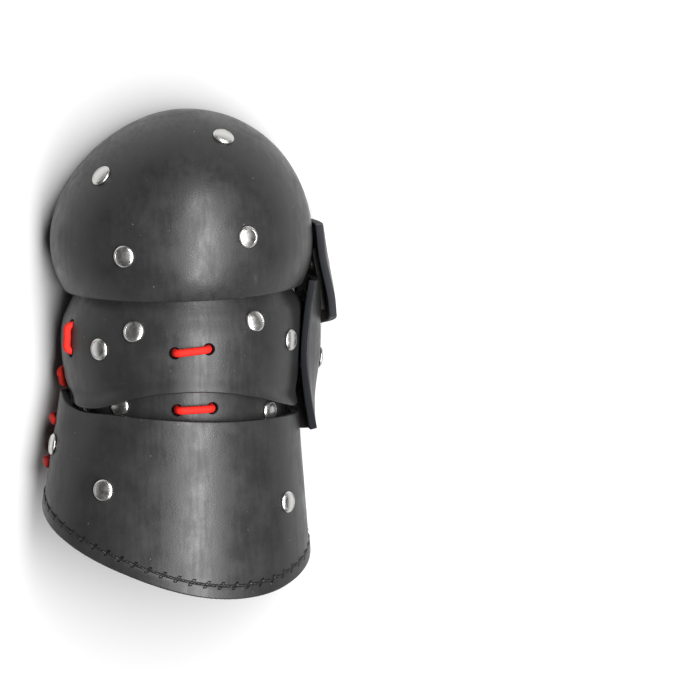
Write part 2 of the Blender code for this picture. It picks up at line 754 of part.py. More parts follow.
def stitch_points(holes, bows):
    """Route of a loop through its holes, outside between holes 0 and 1, 2 and 3, inside otherwise.

    Each hole gives its place, normal, wall and how deep the inner run lies under the wall.
    """
    points = []
    count = len(holes)
    lift = CORD_DIAMETER / 2.0 + CORD_LIFT
    for i, hole in enumerate(holes):
        outer_first = i % 2 == 1
        other = holes[i - 1] if outer_first else holes[(i + 1) % count]
        inner = holes[(i + 1) % count] if outer_first else holes[i - 1]
        to_outer = (other["place"] - hole["place"]).normalized()
        to_inner = (inner["place"] - hole["place"]).normalized()
        over = hole["place"] + hole["normal"] * lift + to_outer * 2.6
        middle = hole["place"] - hole["normal"] * (hole["wall"] / 2.0)
        under = hole["place"] - hole["normal"] * (hole["wall"] + hole["under"]) + to_inner * 2.6
        points += [over, middle, under] if outer_first else [under, middle, over]
        if not outer_first:
            half = 0.5 * (hole["place"] + other["place"])
            normal = (hole["normal"] + other["normal"]).normalized()
            points.append(half + normal * (lift + bows[i // 2]))
    return points


def cord_hole(plate, angle, y, under):
    """One punched hole of a lace."""
    surface = SURFACES[plate]
    return {"plate": plate, "place": surface(angle, y), "normal": outward(surface, angle, y),
            "wall": WALLS[plate], "under": CORD_DIAMETER / 2.0 + CORD_LIFT + under}


def lace(name, plates, holes, bows):
    """Cord loop and the holes punched for it."""
    for number, hole in enumerate(holes):
        cut(plates[hole["plate"]], hole_cutter(f"hole_{name}_{number}", hole["place"], hole["normal"],
                                               CORD_HOLE_RADIUS, hole["wall"] + 3.0))
    return make_cord(name, stitch_points(holes, bows))


plates = {
    "dome": make_dome(),
    "hand": make_hand_plate(),
    "lame": make_lame(),
    "cuff": make_cuff(),
}
thumb_base = make_thumb_lame("thumb_base_lame", THUMB_BASE_ROWS, 8, THUMB_BASE_SLANT)
thumb_tip = make_thumb_lame("thumb_tip_lame", THUMB_TIP_ROWS, 6, THUMB_TIP_SLANT)

strap_pinky = main_strap("strap_pinky", "rivet_dome_pinky_tip", "rivet_dome_pinky_rim",
                         "rivet_hand_pinky", "rivet_lame_pinky", "rivet_cuff_pinky")
strap_thumb = main_strap("strap_thumb", "rivet_dome_thumb_tip", "rivet_dome_thumb_rim",
                         "rivet_hand_thumb", "rivet_lame_thumb", "rivet_cuff_thumb")
strap_side = side_strap("strap_side", "rivet_hand_side", "rivet_lame_side")



def ribbon(name, edges):
    """Strap through pairs of edge points on its outer side."""
    last = len(edges) - 1

    def point(across, down):
        near, far = edges[int(round(down * last))]
        return near + (far - near) * across

    strap = new_object(name, grid_mesh(name, 1, last, point), "strap_leather")
    add_wall(strap, STRAP_WALL)
    return strap


def thumb_inner(rows, y, share, inset):
    """Point a distance inside a thumb lame and the lame's outward normal there."""
    step = 0.02
    down = thumb_point(rows, y, share + step) - thumb_point(rows, y, share - step)
    back = thumb_point(rows, y - 1.0, share) - thumb_point(rows, y + 1.0, share)
    normal = down.cross(back).normalized()
    if normal.x < 0.0:
        normal = -normal
    return thumb_point(rows, y, share) - normal * inset, normal


def make_thumb_hinge():
    """Strap from the inside of the hand plate down to the inside of the thumb's base lame."""
    row = RIVET["rivet_hand_thumb_side"]
    section = shrunk(hand_section(row["y"]), PLATE_WALL + STRAP_GAP + RIBBON_SLACK)
    half = Vector((0.0, STRAP_WIDTH / 2.0, 0.0))
    line = []
    for angle in (row["angle"] - 8.0, row["angle"] - 4.0, row["angle"] + 4.0, HAND_THUMB_ANGLE + 4.0):
        x, z = on_section(section, angle)
        line.append(Vector((x, row["y"], z)))
    inset = PLATE_WALL + STRAP_GAP + RIBBON_SLACK
    for share in (-0.20, -0.09, 0.09, 0.18):
        spot, _ = thumb_inner(THUMB_BASE_ROWS, THUMB_RIVET_Y, THUMB_RIVET_SHARE + share, inset)
        line.append(spot)
    return ribbon("strap_thumb_hinge", [(spot - half, spot + half) for spot in line])


def make_lame_strap():
    """Strap between the thumb's two lames, inside the tip lame and outside the base lame."""
    first, last = TIP_RIVET_Y + STRAP_END, LAP_RIVET_Y - STRAP_END
    tall = along_table(THUMB_TIP_ROWS, "y", "edge_z", TIP_RIVET_Y) - THUMB_FLOOR_GAP

    def point(across, down):
        share = TIP_RIVET_SHARE + (across - 0.5) * STRAP_WIDTH / tall
        spot, _ = thumb_inner(THUMB_TIP_ROWS, first + (last - first) * down, share,
                              PLATE_WALL + LAP_GAP)
        return spot

    strap = new_object("strap_thumb_lames", grid_mesh("strap_thumb_lames", 2, 6, point),
                       "strap_leather")
    add_wall(strap, STRAP_WALL)
    return strap


strap_hinge = make_thumb_hinge()
strap_lames = make_lame_strap()

held = {
    "rivet_dome_pinky_tip": strap_pinky,
    "rivet_dome_pinky_rim": strap_pinky,
    "rivet_hand_pinky": strap_pinky,
    "rivet_lame_pinky": strap_pinky,
    "rivet_cuff_pinky": strap_pinky,
    "rivet_dome_thumb_tip": strap_thumb,
    "rivet_dome_thumb_rim": strap_thumb,
    "rivet_hand_thumb": strap_thumb,
    "rivet_lame_thumb": strap_thumb,
    "rivet_cuff_thumb": strap_thumb,
    "rivet_hand_side": strap_side,
    "rivet_lame_side": strap_side,
    "rivet_hand_thumb_side": strap_hinge,
}
for row in RIVETS:
    rivet_plate(plates, row, held)

spot, normal = thumb_inner(THUMB_BASE_ROWS, THUMB_RIVET_Y, THUMB_RIVET_SHARE, 0.0)
set_rivet("rivet_thumb_base", spot, normal, PLATE_WALL + STRAP_GAP + RIBBON_SLACK + STRAP_WALL,
          [thumb_base, strap_hinge])
spot, normal = thumb_inner(THUMB_TIP_ROWS, TIP_RIVET_Y, TIP_RIVET_SHARE, 0.0)
set_rivet("rivet_thumb_tip", spot, normal, PLATE_WALL + LAP_GAP + STRAP_WALL, [thumb_tip, strap_lames])
spot, normal = thumb_inner(THUMB_TIP_ROWS, LAP_RIVET_Y, TIP_RIVET_SHARE, 0.0)
set_rivet("rivet_thumb_lap", spot, normal, 2.0 * (PLATE_WALL + LAP_GAP) + STRAP_WALL + LAP_SLACK,
          [thumb_tip, strap_lames, thumb_base])

lace("elastic_back", plates, [
    cord_hole("hand", 4.9, 10.2, 8.0),
    cord_hole("hand", -10.8, 8.3, 8.0),
    cord_hole("lame", -10.2, -22.5, 0.7),
    cord_hole("lame", 9.1, -21.8, 0.7),
], (0.3, 0.3))
lace("elastic_side", plates, [
    cord_hole("hand", -74.5, 17.2, 8.0),
    cord_hole("hand", -73.0, 3.4, 0.5),
    cord_hole("hand", -94.0, -7.4, 0.5),
    cord_hole("hand", -93.0, -18.0, 8.0),
], (0.0, 0.0))
lace("elastic_cuff", plates, [
    cord_hole("cuff", -95.0, -36.2, 1.0),
    cord_hole("cuff", -132.0, -36.2, 1.0),
    cord_hole("cuff", -132.0, -59.0, 1.0),
    cord_hole("cuff", -95.0, -59.0, 1.0),
], (6.0, 6.0))

bpy.context.view_layer.update()
graph = bpy.context.evaluated_depsgraph_get()
corners = []
for piece in gauntlet.objects:
    if piece.type in {"MESH", "CURVE"}:
        shape = piece.evaluated_get(graph)
        mesh = shape.to_mesh()
        corners += [piece.matrix_world @ vert.co for vert in mesh.vertices]
        shape.to_mesh_clear()
low = Vector([min(corner[i] for corner in corners) for i in range(3)])
high = Vector([max(corner[i] for corner in corners) for i in range(3)])
base.location = Vector((-(low.x + high.x) / 2.0, -(low.y + high.y) / 2.0, -low.z))
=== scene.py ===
"""Looks of a left-hand fencing gauntlet: leather plates, rivets, elastic, stitching and studio.

It lies palm down: +Z is the back of the hand, +Y the fingers, -Y the forearm, +X the thumb.
Sizes are in millimetres and become metres where meshes are made.
Angles go round a plate's section from the middle of the back, positive towards the thumb.
"""
import math
from collections import namedtuple

import bmesh
import bpy
from mathutils import Matrix, Vector


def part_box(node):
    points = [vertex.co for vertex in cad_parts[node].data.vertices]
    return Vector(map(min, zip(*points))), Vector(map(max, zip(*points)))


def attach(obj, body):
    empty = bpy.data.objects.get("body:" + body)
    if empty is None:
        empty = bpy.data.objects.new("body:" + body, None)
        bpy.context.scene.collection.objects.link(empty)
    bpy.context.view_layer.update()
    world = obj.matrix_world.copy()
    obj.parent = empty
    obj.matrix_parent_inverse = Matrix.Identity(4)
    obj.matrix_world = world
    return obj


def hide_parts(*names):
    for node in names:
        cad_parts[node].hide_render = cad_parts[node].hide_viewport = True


MM = 0.001

# Hem: height and pitch of its stitches, the band that stands a little proud and where its edge fades,
# and the share of the cuff's rows that lie above the band
HEM_STITCH_UP = 7.0
HEM_PITCH = 7.8
HEM_STEPS = 700
HEM_BAND = 10.0
HEM_BAND_RISE = 0.55
HEM_FADE_BELOW = 2.2
HEM_FADE_ABOVE = 0.6
CUFF_BAND_START = 34.0 / 44.0

# Thread: how it leans, bows over the leather and sinks into its slits
THREAD_RADIUS = 0.42
THREAD_SIDES = 8
THREAD_TWIST = 2.0
THREAD_STEPS = 8
THREAD_GAP = 0.5
THREAD_LEAN = 1.1
THREAD_BOW = 2.2
THREAD_SINK = 1.3
THREAD_TOP = 0.15

# Elastic: its braid and how it lies over the leather and passes through the holes
CORD_SIDES = 20
CORD_SAMPLES = 10
CORD_BRAID_PITCH = 5.0
CORD_REST = 2.0
CORD_REACH = 2.4
CORD_SINK = 0.5
CORD_LEAD = 0.4

# Punched holes: how far the punch goes past the leather on either side, and how much wider it is at a
# height over the outer face, from the top down
PUNCH_RADIUS = 2.65
PUNCH_PAST = 3.0
HOLE_SEGMENTS = 36
HOLE_FLARE = [(1.0, PUNCH_PAST), (0.9, 0.3), (0.5, -0.15), (0.2, -0.45), (0.0, -0.9)]

# Rivets: radius and height of the head's profile, from the middle of its top outwards and down
RIVET_SEAT = 0.08
RIVET_SEGMENTS = 40
HEAD_PROFILE = [
    (0.0, 1.60), (4.0, 1.60), (4.12, 1.52), (4.24, 1.60), (4.55, 1.58), (4.75, 1.50),
    (5.25, 1.02), (5.5, 0.78), (5.6, 0.55), (5.55, 0.30), (5.4, RIVET_SEAT),
]
TAIL_CHAMFER = 0.3
TAIL_EDGE = 0.8

# Meshes: how close to a cut a point of the dome is moved onto it, rounding and sharp edges
DOME_SNAP = 0.45
DOME_CUT_PLAY = 0.02
EDGE_ROUNDING = 0.9
HAND_EDGE_ROUNDING = 1.4
LAME_EDGE_ROUNDING = 0.6
ROUNDING_TURNS = (30.0, 60.0, 90.0)
SHARP_LEATHER = math.radians(38.0)
SHARP_METAL = math.radians(50.0)

# Studio, in metres: brightness of the surroundings at the horizon and overhead, key light and floor
WORLD_LOW = 0.26
WORLD_HIGH = 0.78
KEY_PLACE = (0.34, 0.2, 1.6)
KEY_AIM = (0.0, 0.2, 0.05)
KEY_SIZE = (0.5, 3.0)
KEY_POWER = 105.0
FLOOR_HALF = 6.0

# Camera: distance, size of one picture element at the middle of the back, and where the aim lies
PICTURE_ELEMENTS = 700.0
PIXEL = 0.52
SENSOR_WIDTH = 36.0
CAMERA_DISTANCE = 1600.0
CAMERA_FOCUS = 40.0
CAMERA_AIM_RIGHT = 86.06
CAMERA_AIM_UP = -2.8

# Leather, gaps and fastenings
PLATE_WALL = 4.0
LAME_WALL = 3.0
STRAP_WALL = 2.5
STRAP_GAP = 0.7
RIBBON_SLACK = 0.75
RIVET_SHANK_RADIUS = 1.9
RIVET_TAIL_RADIUS = 3.6
RIVET_TAIL_HEIGHT = 0.9
CORD_DIAMETER = 4.0
CORD_LIFT = 0.6

# Finger dome: a sphere, a little shorter towards the wrist, cut by the rim plane and the floor
DOME_RADIUS = 68.6
DOME_BACK_RADIUS = 57.0
DOME_CENTRE_X = -4.0
DOME_CENTRE_Y = 58.3
DOME_CENTRE_Z = 18.0
DOME_RIM_BACK = 24.0
DOME_RIM_SLANT = math.radians(1.7)
DOME_SHOULDER_SHIFT = 3.0
DOME_PINKY_SLOPE = 0.12

# Hand plate: a barrel tucked under the dome's rim, with an arched and rolled wrist edge
HAND_RADIUS = 63.4
HAND_CENTRE_X = -3.7
HAND_TUCK = 10.0
HAND_WRIST_EDGE_Y = -12.4
HAND_ARCH_DROP = 12.4
HAND_PINKY_ANGLE = -104.0
HAND_THUMB_ANGLE = 71.0
HAND_WING_ANGLE = 15.0
HAND_WING_LENGTH = 24.0
HAND_LIP_FLARE = 3.8
HAND_LIP_LENGTH = 9.0
HAND_LENGTH = 70.0

# Wrist lame: a narrow band that lies inside both the hand plate and the cuff's rim
LAME_HAND_STEP = 8.9
LAME_CUFF_STEP = 8.5
LAME_FRONT_Y = -7.0
LAME_BACK_Y = -42.0
LAME_PINKY_ANGLE = -86.0
LAME_THUMB_ANGLE = 80.0

# Cuff: a flared tube with a slit on the little-finger side and a slanting hem
CUFF_FRONT_Y = -26.3
CUFF_RIM_STEP = 6.8
CUFF_LENGTH = 92.0
CUFF_CENTRE_X = -6.5
CUFF_LEAN = 0.035
CUFF_AXIS_Z = 24.0
CUFF_RIM_HALF_WIDTH = 63.0
CUFF_HEM_HALF_WIDTH = 74.1
CUFF_RIM_RISE = 54.0
CUFF_HEM_RISE = 62.0
CUFF_FLATNESS = 0.8
CUFF_SLIT_ANGLE = -114.0
CUFF_SLIT_HALF_ANGLE = 7.0
CUFF_START_ANGLE = CUFF_SLIT_ANGLE + CUFF_SLIT_HALF_ANGLE
CUFF_SPAN_ANGLE = 360.0 - 2.0 * CUFF_SLIT_HALF_ANGLE
CUFF_DENT = 3.0
CUFF_DENT_ANGLE = -60.0
CUFF_DENT_SPREAD = 20.0
CUFF_DENT_LENGTH = 40.0

# Thumb plates: two upright lames beside the hand, the tip lame outside the base lame
THUMB_FLOOR_GAP = 3.0
THUMB_WIDEST_Z = 20.0
THUMB_BASE_SLANT = 4.6
THUMB_TIP_SLANT = 8.0
THUMB_RIVET_Y = -5.0
THUMB_RIVET_SHARE = 0.62
TIP_RIVET_Y = 45.0
LAP_RIVET_Y = 28.5
TIP_RIVET_SHARE = 0.78
LAP_GAP = 0.6
LAP_SLACK = 1.8

# Radius of the hand plate along its length: place from the fingers' end, share of HAND_RADIUS at the
# back and the little finger, and at the thumb
HAND_PROFILE = [
    {"along": 0.00, "radius": 0.872, "thumb": 0.880},
    {"along": 0.17, "radius": 0.880, "thumb": 0.915},
    {"along": 0.27, "radius": 0.928, "thumb": 0.990},
    {"along": 0.40, "radius": 0.985, "thumb": 1.000},
    {"along": 0.57, "radius": 1.000, "thumb": 1.000},
    {"along": 0.81, "radius": 0.975, "thumb": 0.975},
    {"along": 1.00, "radius": 0.932, "thumb": 0.932},
]

# Wrist edge of the hand plate: angle round the section, set-back as a share of HAND_ARCH_DROP,
# and how far its lip rolls out as a share of HAND_LIP_FLARE
HAND_ARCH = [
    {"angle": -104.0, "drop": 0.55, "lip": -0.30},
    {"angle": -88.0, "drop": 0.75, "lip": -0.30},
    {"angle": -78.0, "drop": 0.88, "lip": 0.10},
    {"angle": -66.0, "drop": 0.98, "lip": 1.1},
    {"angle": -50.0, "drop": 0.86, "lip": 1.1},
    {"angle": -35.0, "drop": 0.44, "lip": 0.8},
    {"angle": -18.0, "drop": 0.09, "lip": 0.65},
    {"angle": 5.0, "drop": 0.00, "lip": 0.6},
    {"angle": 30.0, "drop": 0.36, "lip": 0.7},
    {"angle": 45.0, "drop": 0.75, "lip": 0.9},
    {"angle": 62.0, "drop": 1.10, "lip": 0.9},
    {"angle": 71.0, "drop": 1.15, "lip": 0.7},
]

# Hand edge of the cuff: angle round the section, place ahead of the front as a share of the step
CUFF_RIM = [
    {"angle": -107.0, "ahead": 1.00},
    {"angle": -90.0, "ahead": 0.95},
    {"angle": -77.0, "ahead": 0.32},
    {"angle": -66.0, "ahead": 0.05},
    {"angle": -55.0, "ahead": 0.05},
    {"angle": -40.0, "ahead": 0.15},
    {"angle": -15.0, "ahead": 0.00},
    {"angle": 5.0, "ahead": -0.19},
    {"angle": 30.0, "ahead": -0.38},
    {"angle": 60.0, "ahead": -0.52},
    {"angle": 90.0, "ahead": -0.75},
    {"angle": 135.0, "ahead": -0.60},
    {"angle": 180.0, "ahead": -0.30},
    {"angle": 225.0, "ahead": 0.40},
    {"angle": 239.0, "ahead": 0.80},
]

# Hem of the cuff: angle round the section, distance below the front as a share of CUFF_LENGTH
CUFF_HEM = [
    {"angle": -107.0, "down": 0.530},
    {"angle": -90.0, "down": 0.592},
    {"angle": -60.0, "down": 0.715},
    {"angle": -30.0, "down": 0.848},
    {"angle": 0.0, "down": 0.975},
    {"angle": 22.0, "down": 1.018},
    {"angle": 45.0, "down": 0.995},
    {"angle": 90.0, "down": 0.838},
    {"angle": 135.0, "down": 0.610},
    {"angle": 180.0, "down": 0.470},
    {"angle": 215.0, "down": 0.450},
    {"angle": 239.0, "down": 0.500},
]

# Thumb lames from the fingers' end: y, how far the row follows the dome's side instead of the hand
# plate's, how far beyond that side the cut upper edge and the widest line lie, the edge's z, and how
# far the lower edge tucks in under the hand
THUMB_BASE_ROWS = [
    {"y": 38.5, "dome": 1.00, "edge": -0.7, "edge_z": 40.0, "widest": 3.6, "tuck": 4.6},
    {"y": 24.0, "dome": 0.55, "edge": -2.2, "edge_z": 47.0, "widest": 6.8, "tuck": 6.8},
    {"y": 0.0, "dome": 0.00, "edge": -1.9, "edge_z": 50.0, "widest": 9.7, "tuck": 7.5},
    {"y": -22.0, "dome": 0.00, "edge": 1.3, "edge_z": 44.0, "widest": 6.9, "tuck": 7.5},
    {"y": -41.0, "dome": 0.00, "edge": 6.7, "edge_z": 32.0, "widest": 7.2, "tuck": 8.0},
]
THUMB_TIP_ROWS = [
    {"y": 67.0, "dome": 1.00, "edge": 4.0, "edge_z": 32.0, "widest": 5.8, "tuck": 2.0},
    {"y": 50.0, "dome": 1.00, "edge": 5.8, "edge_z": 32.5, "widest": 8.8, "tuck": 2.8},
    {"y": 30.0, "dome": 0.73, "edge": 11.7, "edge_z": 32.5, "widest": 13.9, "tuck": 5.0},
    {"y": 18.5, "dome": 0.39, "edge": 15.0, "edge_z": 31.5, "widest": 16.4, "tuck": 6.3},
]

# Rivets through a plate and the strap behind it: angle round the section and place along the hand
RIVETS = [
    {"name": "rivet_dome_pinky_tip", "plate": "dome", "angle": -56.0, "y": 95.6, "strap": True},
    {"name": "rivet_dome_pinky_rim", "plate": "dome", "angle": -32.3, "y": 57.5, "strap": True},
    {"name": "rivet_dome_thumb_tip", "plate": "dome", "angle": 22.7, "y": 115.2, "strap": True},
    {"name": "rivet_dome_thumb_rim", "plate": "dome", "angle": 21.8, "y": 67.1, "strap": True},
    {"name": "rivet_hand_pinky", "plate": "hand", "angle": -30.7, "y": 18.5, "strap": True},
    {"name": "rivet_hand_thumb", "plate": "hand", "angle": 28.7, "y": 22.7, "strap": True},
    {"name": "rivet_hand_side", "plate": "hand", "angle": -49.0, "y": 7.9, "strap": True},
    {"name": "rivet_hand_thumb_side", "plate": "hand", "angle": 54.2, "y": 10.1, "strap": True,
     "slack": RIBBON_SLACK},
    {"name": "rivet_lame_pinky", "plate": "lame", "angle": -43.0, "y": -22.0, "strap": True},
    {"name": "rivet_lame_thumb", "plate": "lame", "angle": 48.5, "y": -27.0, "strap": True},
    {"name": "rivet_lame_side", "plate": "lame", "angle": -77.0, "y": -30.0, "strap": True},
    {"name": "rivet_cuff_pinky", "plate": "cuff", "angle": -39.5, "y": -63.7, "strap": True},
    {"name": "rivet_cuff_thumb", "plate": "cuff", "angle": 51.9, "y": -74.4, "strap": True},
    {"name": "rivet_cuff_side", "plate": "cuff", "angle": -87.0, "y": -46.9, "strap": False},
]


def smooth(a, b, value):
    """Ease from 0 at a to 1 at b."""
    share = min(1.0, max(0.0, (value - a) / (b - a)))
    return share * share * (3.0 - 2.0 * share)


def along_table(rows, key, column, value):
    """Read a column at a key with a smooth curve through the rows."""
    rows = sorted(rows, key=lambda row: row[key])
    keys = [row[key] for row in rows]
    cells = [row[column] for row in rows]
    if value <= keys[0]:
        return cells[0]
    if value >= keys[-1]:
        return cells[-1]
    last = len(keys) - 1
    slopes = []
    for i in range(last + 1):
        low, high = max(0, i - 1), min(last, i + 1)
        slopes.append((cells[high] - cells[low]) / (keys[high] - keys[low]))
    i = max(j for j in range(last) if keys[j] <= value)
    span = keys[i + 1] - keys[i]
    t = (value - keys[i]) / span
    return ((2 * t**3 - 3 * t**2 + 1) * cells[i] + (t**3 - 2 * t**2 + t) * span * slopes[i]
            + (3 * t**2 - 2 * t**3) * cells[i + 1] + (t**3 - t**2) * span * slopes[i + 1])


Section = namedtuple("Section", "centre_x centre_z pinky thumb rise depth")


def on_section(section, angle):
    """Point of a plate's section at an angle."""
    sine, cosine = math.sin(math.radians(angle)), math.cos(math.radians(angle))
    reach = section.thumb if sine >= 0.0 else section.pinky
    height = section.rise if cosine >= 0.0 else section.depth
    return section.centre_x + reach * sine, section.centre_z + height * cosine


def shrunk(section, by):
    """The section lying a distance inside another."""
    return Section(section.centre_x, section.centre_z, *(size - by for size in section[2:]))


def dome_section(y, inset=0.0):
    """Section of the dome at a place along the hand, lower towards the tip on the little-finger side."""
    ahead = y - DOME_CENTRE_Y
    reach = DOME_RADIUS - inset if ahead > 0.0 else DOME_BACK_RADIUS - inset
    radius = (DOME_RADIUS - inset) * math.sqrt(max(0.0, 1.0 - (ahead / reach) ** 2))
    tip = max(0.0, ahead / reach) ** 2
    centre_x = DOME_CENTRE_X + DOME_SHOULDER_SHIFT * tip
    pinky = radius * (1.0 - DOME_PINKY_SLOPE * tip)
    return Section(centre_x, DOME_CENTRE_Z, pinky, radius, radius, radius)


def dome_rim_y(x):
    """Wrist rim of the dome, cut a little aslant."""
    return DOME_CENTRE_Y - DOME_RIM_BACK + (x - DOME_CENTRE_X) * math.tan(DOME_RIM_SLANT)


HAND_FRONT_Y = DOME_CENTRE_Y - DOME_RIM_BACK + HAND_TUCK


def hand_edge_y(angle):
    """Arched wrist edge of the hand plate."""
    return HAND_WRIST_EDGE_Y - HAND_ARCH_DROP * along_table(HAND_ARCH, "angle", "drop", angle)


def hand_section(y):
    """Barrel section of the hand plate."""
    share = (HAND_FRONT_Y - y) / HAND_LENGTH
    radius = HAND_RADIUS * along_table(HAND_PROFILE, "along", "radius", share)
    thumb = HAND_RADIUS * along_table(HAND_PROFILE, "along", "thumb", share)
    return Section(HAND_CENTRE_X, DOME_CENTRE_Z, radius, thumb, radius, radius)


def hand_wing(angle, y):
    """Angle of the hand plate, carried further round beside the thumb at the fingers' end."""
    ahead = (y - HAND_FRONT_Y + HAND_WING_LENGTH) / HAND_WING_LENGTH
    beside = smooth(HAND_THUMB_ANGLE - 2.0 * HAND_WING_ANGLE, HAND_THUMB_ANGLE, angle)
    return angle + HAND_WING_ANGLE * smooth(0.0, 0.35, ahead) * beside


def hand_point(angle, y):
    """Outer surface of the hand plate, with its edge rolled outwards."""
    section = hand_section(y)
    roll = 1.0 - smooth(0.0, HAND_LIP_LENGTH, y - hand_edge_y(angle))
    lip = HAND_LIP_FLARE * along_table(HAND_ARCH, "angle", "lip", angle) * roll
    x, z = on_section(shrunk(section, -lip), angle)
    return Vector((x, y, z))


def lame_section(y):
    """Round section of the wrist lame, a step inside the narrower of its two neighbours."""
    radius = min(HAND_RADIUS - LAME_HAND_STEP, CUFF_RIM_HALF_WIDTH - LAME_CUFF_STEP)
    return Section(HAND_CENTRE_X, DOME_CENTRE_Z, radius, radius, radius, radius)


def cuff_section(y):
    """Section of the cuff: a wide arch over a shallow underside that lies on the floor."""
    back = CUFF_FRONT_Y - y
    share = back / CUFF_LENGTH
    half_width = CUFF_RIM_HALF_WIDTH + share * (CUFF_HEM_HALF_WIDTH - CUFF_RIM_HALF_WIDTH)
    rise = CUFF_RIM_RISE + share * (CUFF_HEM_RISE - CUFF_RIM_RISE)
    centre_x = CUFF_CENTRE_X - CUFF_LEAN * back
    return Section(centre_x, CUFF_AXIS_Z, half_width, half_width, rise, CUFF_AXIS_Z)


def cuff_on_section(section, angle):
    """Point of the cuff's section, whose underside is flatter than an ellipse."""
    sine, cosine = math.sin(math.radians(angle)), math.cos(math.radians(angle))
    if cosine >= 0.0:
        return on_section(section, angle)
    side = math.copysign(abs(sine) ** CUFF_FLATNESS, sine)
    return (section.centre_x + section.thumb * side,
            section.centre_z - section.depth * abs(cosine) ** CUFF_FLATNESS)


def cuff_rim_y(angle):
    """Hand edge of the cuff."""
    return CUFF_FRONT_Y + CUFF_RIM_STEP * along_table(CUFF_RIM, "angle", "ahead", angle)


def cuff_point(angle, y):
    """Outer surface of the cuff, pressed in beside the corner of the hand plate."""
    x, z = cuff_on_section(cuff_section(y), angle)
    around = math.exp(-((angle - CUFF_DENT_ANGLE) / CUFF_DENT_SPREAD) ** 2)
    dent = CUFF_DENT * around * smooth(-CUFF_DENT_LENGTH, 0.0, y - cuff_rim_y(angle))
    turn = math.radians(angle)
    return Vector((x - dent * math.sin(turn), y, z - dent * math.cos(turn)))


def cuff_hem_y(angle):
    """Slanting forearm edge of the cuff."""
    return CUFF_FRONT_Y - CUFF_LENGTH * along_table(CUFF_HEM, "angle", "down", angle)


def section_surface(section_at):
    """Outer surface of a plate given by its sections."""
    def point(angle, y):
        x, z = on_section(section_at(y), angle)
        return Vector((x, y, z))
    return point


def thumb_point(rows, y, share):
    """Outer surface of a thumb lame, from the cut upper edge down to the floor side."""
    hand_side = HAND_CENTRE_X + HAND_RADIUS
    dome_side = DOME_CENTRE_X + DOME_RADIUS
    side = hand_side + (dome_side - hand_side) * along_table(rows, "y", "dome", y)
    edge_x = side + along_table(rows, "y", "edge", y)
    edge_z = along_table(rows, "y", "edge_z", y)
    widest_x = side + along_table(rows, "y", "widest", y)
    tuck = along_table(rows, "y", "tuck", y)
    z = edge_z + (THUMB_FLOOR_GAP - edge_z) * share
    if z >= THUMB_WIDEST_Z:
        turn = (edge_z - z) / (edge_z - THUMB_WIDEST_Z)
        x = edge_x + (widest_x - edge_x) * math.sin(turn * math.pi / 2.0)
    else:
        turn = (THUMB_WIDEST_Z - z) / (THUMB_WIDEST_Z - THUMB_FLOOR_GAP)
        x = widest_x - tuck * turn * turn
    return Vector((x, y, z))


SURFACES = {
    "dome": section_surface(dome_section),
    "hand": hand_point,
    "lame": section_surface(lame_section),
    "cuff": cuff_point,
}
WALLS = {"dome": PLATE_WALL, "hand": PLATE_WALL, "lame": LAME_WALL, "cuff": PLATE_WALL}


def outward(surface, angle, y):
    """Unit normal of a plate's outer surface."""
    step_angle, step_y = 0.5, 0.5
    round_way = surface(angle + step_angle, y) - surface(angle - step_angle, y)
    along_way = surface(angle, y + step_y) - surface(angle, y - step_y)
    return round_way.cross(along_way).normalized()


# Rivets of the thumb lames: rows of the lame, place along it, share of the way down, and grip
THUMB_RIVETS = [
    ("rivet_thumb_base", THUMB_BASE_ROWS, THUMB_RIVET_Y, THUMB_RIVET_SHARE,
     PLATE_WALL + STRAP_GAP + RIBBON_SLACK + STRAP_WALL),
    ("rivet_thumb_tip", THUMB_TIP_ROWS, TIP_RIVET_Y, TIP_RIVET_SHARE, PLATE_WALL + LAP_GAP + STRAP_WALL),
    ("rivet_thumb_lap", THUMB_TIP_ROWS, LAP_RIVET_Y, TIP_RIVET_SHARE,
     2.0 * (PLATE_WALL + LAP_GAP) + STRAP_WALL + LAP_SLACK),
]

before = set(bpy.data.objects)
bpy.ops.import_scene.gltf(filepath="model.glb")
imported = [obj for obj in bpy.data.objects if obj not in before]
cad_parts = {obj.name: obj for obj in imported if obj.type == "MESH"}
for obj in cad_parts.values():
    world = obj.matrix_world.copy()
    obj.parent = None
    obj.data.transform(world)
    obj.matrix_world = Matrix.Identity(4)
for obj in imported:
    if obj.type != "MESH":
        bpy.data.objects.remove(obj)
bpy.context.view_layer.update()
dome_low, dome_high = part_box("finger_dome")
SHIFT = Vector(((dome_low.x + dome_high.x) / 2.0 - DOME_CENTRE_X * MM,
                dome_high.y - (DOME_CENTRE_Y + DOME_RADIUS) * MM, dome_low.z))


